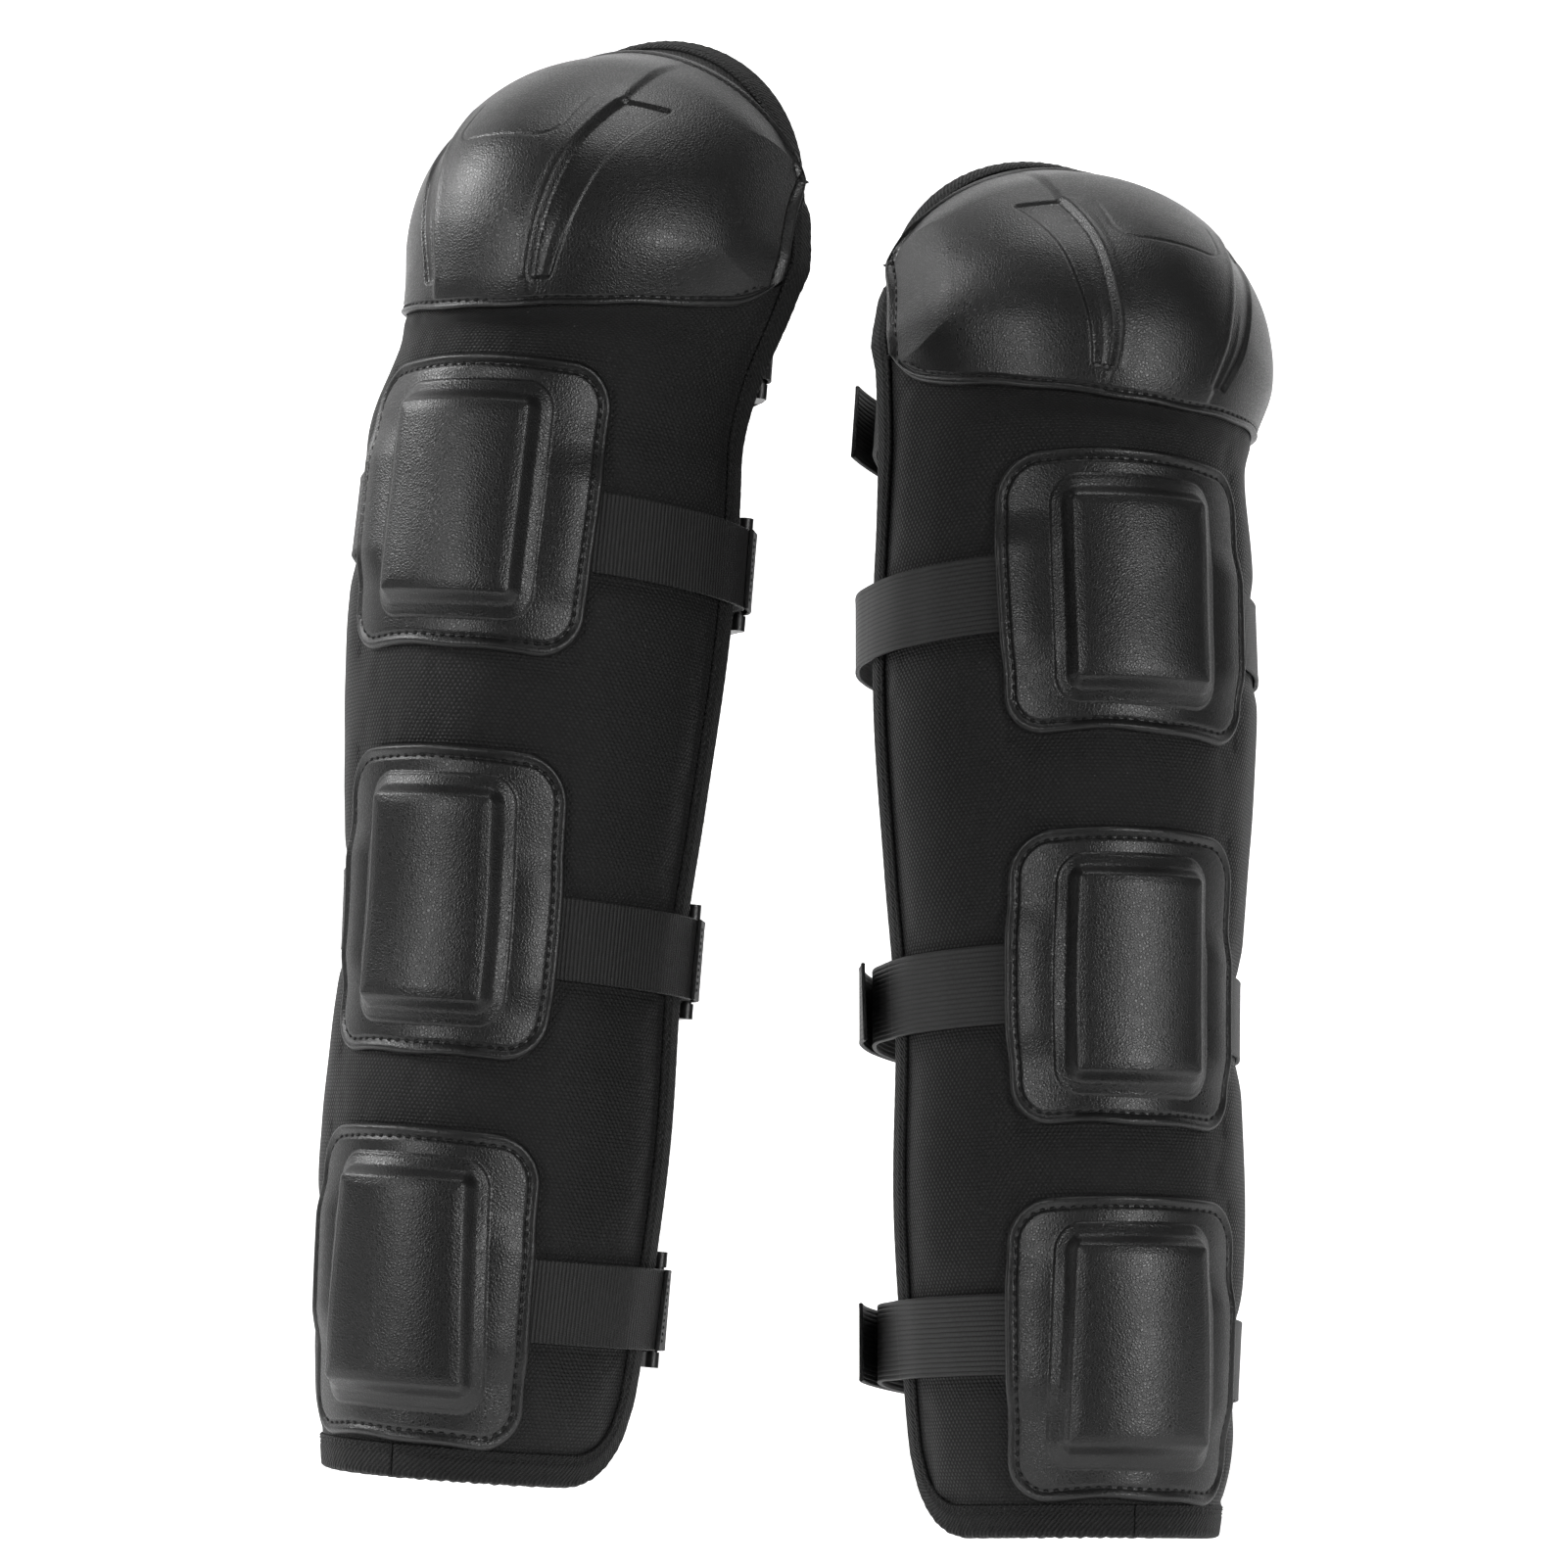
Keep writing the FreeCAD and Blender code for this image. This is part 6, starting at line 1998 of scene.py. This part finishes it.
# ------------------------------------------------------------------ buckles and assembly
@dataclass
class Buckle:
    """A side-release buckle: its two moulded halves, kept as packed."""

    guard: Guard
    wardrobe: Wardrobe
    strap: str

    def dress(self) -> None:
        """Round the moulded edges and give both halves their plastic."""
        for half in ("socket", "plug"):
            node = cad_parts[f"{self.guard.name}_{self.strap}_buckle_{half}"]
            rounding = node.modifiers.new("rounded edges", "BEVEL")
            rounding.width = 0.00035
            rounding.segments = 2
            rounding.limit_method = "ANGLE"
            rounding.angle_limit = math.radians(50.0)
            node.data.materials.clear()
            node.data.materials.append(self.wardrobe["plastic"])


@dataclass
class KneeGuard:
    """One whole guard, built from its sub-assemblies."""

    guard: Guard
    wardrobe: Wardrobe

    def build(self) -> None:
        """Build and dress every part of the guard."""
        Wrap(self.guard, self.wardrobe).build()
        Binding(self.guard, self.wardrobe).build()
        KneeCup(self.guard, self.wardrobe).build()
        for form in PLATES:
            ShinPlate(self.guard, self.wardrobe, form).build()
        for form in STRAPS:
            Strap(self.guard, self.wardrobe, form).build()
            Buckle(self.guard, self.wardrobe, form.name).dress()
        log.info("built the %s guard", self.guard.name)


# ------------------------------------------------------------------ the studio
@dataclass(frozen=True)
class SoftLight:
    """One large soft lamp aimed at the guards."""

    name: str
    place: tuple[float, float, float]
    size: tuple[float, float]
    power: float
    aim: tuple[float, float, float] = (0.0, 0.0, 0.27)

    def add(self) -> None:
        """Hang the lamp."""
        lamp = bpy.data.lights.new(self.name, "AREA")
        lamp.shape = "RECTANGLE"
        lamp.size, lamp.size_y = self.size
        lamp.energy = self.power
        holder = bpy.data.objects.new(self.name, lamp)
        holder.location = self.place
        way = np.array(self.aim) - np.array(self.place)
        level = math.hypot(way[0], way[1])
        holder.rotation_euler = (
            math.radians(90.0) + math.atan2(way[2], level),
            0.0,
            math.atan2(way[1], way[0]) - math.radians(90.0),
        )
        bpy.context.scene.collection.objects.link(holder)


class Studio:
    """Floor, backdrop, lamps, world and camera."""

    FLOOR = -0.06
    BACK = 2.6
    LIGHTS = (
        SoftLight("left softbox", (-1.25, -1.5, 0.6), (0.45, 1.0), 13.5),
        SoftLight("right softbox", (1.2, -1.55, 0.5), (0.45, 1.1), 20.0),
        SoftLight("high softbox", (-1.55, 0.05, 1.4), (0.7, 0.8), 26.0),
        SoftLight("top softbox", (0.1, 0.1, 2.1), (1.2, 0.7), 12.0),
    )

    def build(self) -> None:
        """Build the whole studio."""
        self.world()
        self.ground()
        for light in self.LIGHTS:
            light.add()
        self.camera()
        bpy.context.scene.view_settings.view_transform = "Standard"

    @staticmethod
    def world() -> None:
        """Set the even grey surround."""
        world = bpy.data.worlds.new("surround")
        world.use_nodes = True
        shade = world.node_tree.nodes["Background"]
        shade.inputs["Color"].default_value = grey(1.0)
        shade.inputs["Strength"].default_value = 0.08
        bpy.context.scene.world = world

    def ground(self) -> None:
        """Lay the floor and stand the backdrop behind."""
        floor = self.sheet("floor", [(-4, -0.3), (4, -0.3), (4, 3), (-4, 3)], flat=True)
        floor.data.materials.append(self.paper("floor paper", 0.55))
        back = self.sheet("backdrop", [(-6, -0.5), (6, -0.5), (6, 5), (-6, 5)], flat=False)
        back.data.materials.append(self.paper("backdrop paper", 1.0))

    def sheet(
        self, name: str, corners: Sequence[tuple[float, float]], flat: bool
    ) -> bpy.types.Object:
        """Make one large flat sheet, lying or standing."""
        if flat:
            points = [(x, y, self.FLOOR) for x, y in corners]
        else:
            points = [(x, self.BACK, z) for x, z in corners]
        mesh = bpy.data.meshes.new(name)
        mesh.from_pydata(points, [], [(0, 1, 2, 3)])
        piece = bpy.data.objects.new(name, mesh)
        bpy.context.scene.collection.objects.link(piece)
        return piece

    @staticmethod
    def paper(name: str, glow: float) -> bpy.types.Material:
        """Make white paper that the lens and mirrors see as white.

        Args:
            name: the material's name.
            glow: how far it glows near the guards; it reaches 1 at the back.

        Returns:
            The paper material.
        """
        material = bpy.data.materials.new(name)
        material.use_nodes = True
        sk = Sketch(material.node_tree)
        shader = material.node_tree.nodes["Principled BSDF"]
        shader.inputs["Base Color"].default_value = grey(0.93)
        shader.inputs["Roughness"].default_value = 0.9
        shader.inputs["Specular IOR Level"].default_value = 0.1
        rays = sk.node("ShaderNodeLightPath")
        ways = [Value(sk, rays.outputs[f"Is {way} Ray"]) for way in ("Camera", "Glossy")]
        through = Value(sk, rays.outputs["Is Transmission Ray"])
        seen = sk.math("ADD", ways[0] + ways[1], through, clamp=True)
        shader.inputs["Emission Color"].default_value = grey(1.0)
        _, depth, _ = sk.split(Value(sk, sk.node("ShaderNodeTexCoord").outputs["Object"]))
        level = sk.remap(depth, 0.3, 1.6, glow, 1.0)
        sk.feed(shader.inputs["Emission Strength"], seen * level)
        return material

    @staticmethod
    def camera() -> None:
        """Set the camera straight in front."""
        lens = bpy.data.cameras.new("camera")
        lens.sensor_width = 36.0
        lens.lens = 110.11
        lens.clip_end = 50.0
        eye = bpy.data.objects.new("camera", lens)
        eye.location = (0.0, -1.8, 0.270)
        eye.rotation_euler = (math.radians(90.0), 0.0, 0.0)
        bpy.context.scene.collection.objects.link(eye)
        bpy.context.scene.camera = eye


def main() -> None:
    """Build the pair of guards and the studio."""
    logging.basicConfig(level=logging.INFO, format="%(name)s: %(message)s")
    wardrobe = wardrobe_of_finishes()
    for guard in GUARDS:
        KneeGuard(guard, wardrobe).build()
    Studio().build()


if __name__ == "__main__":
    main()
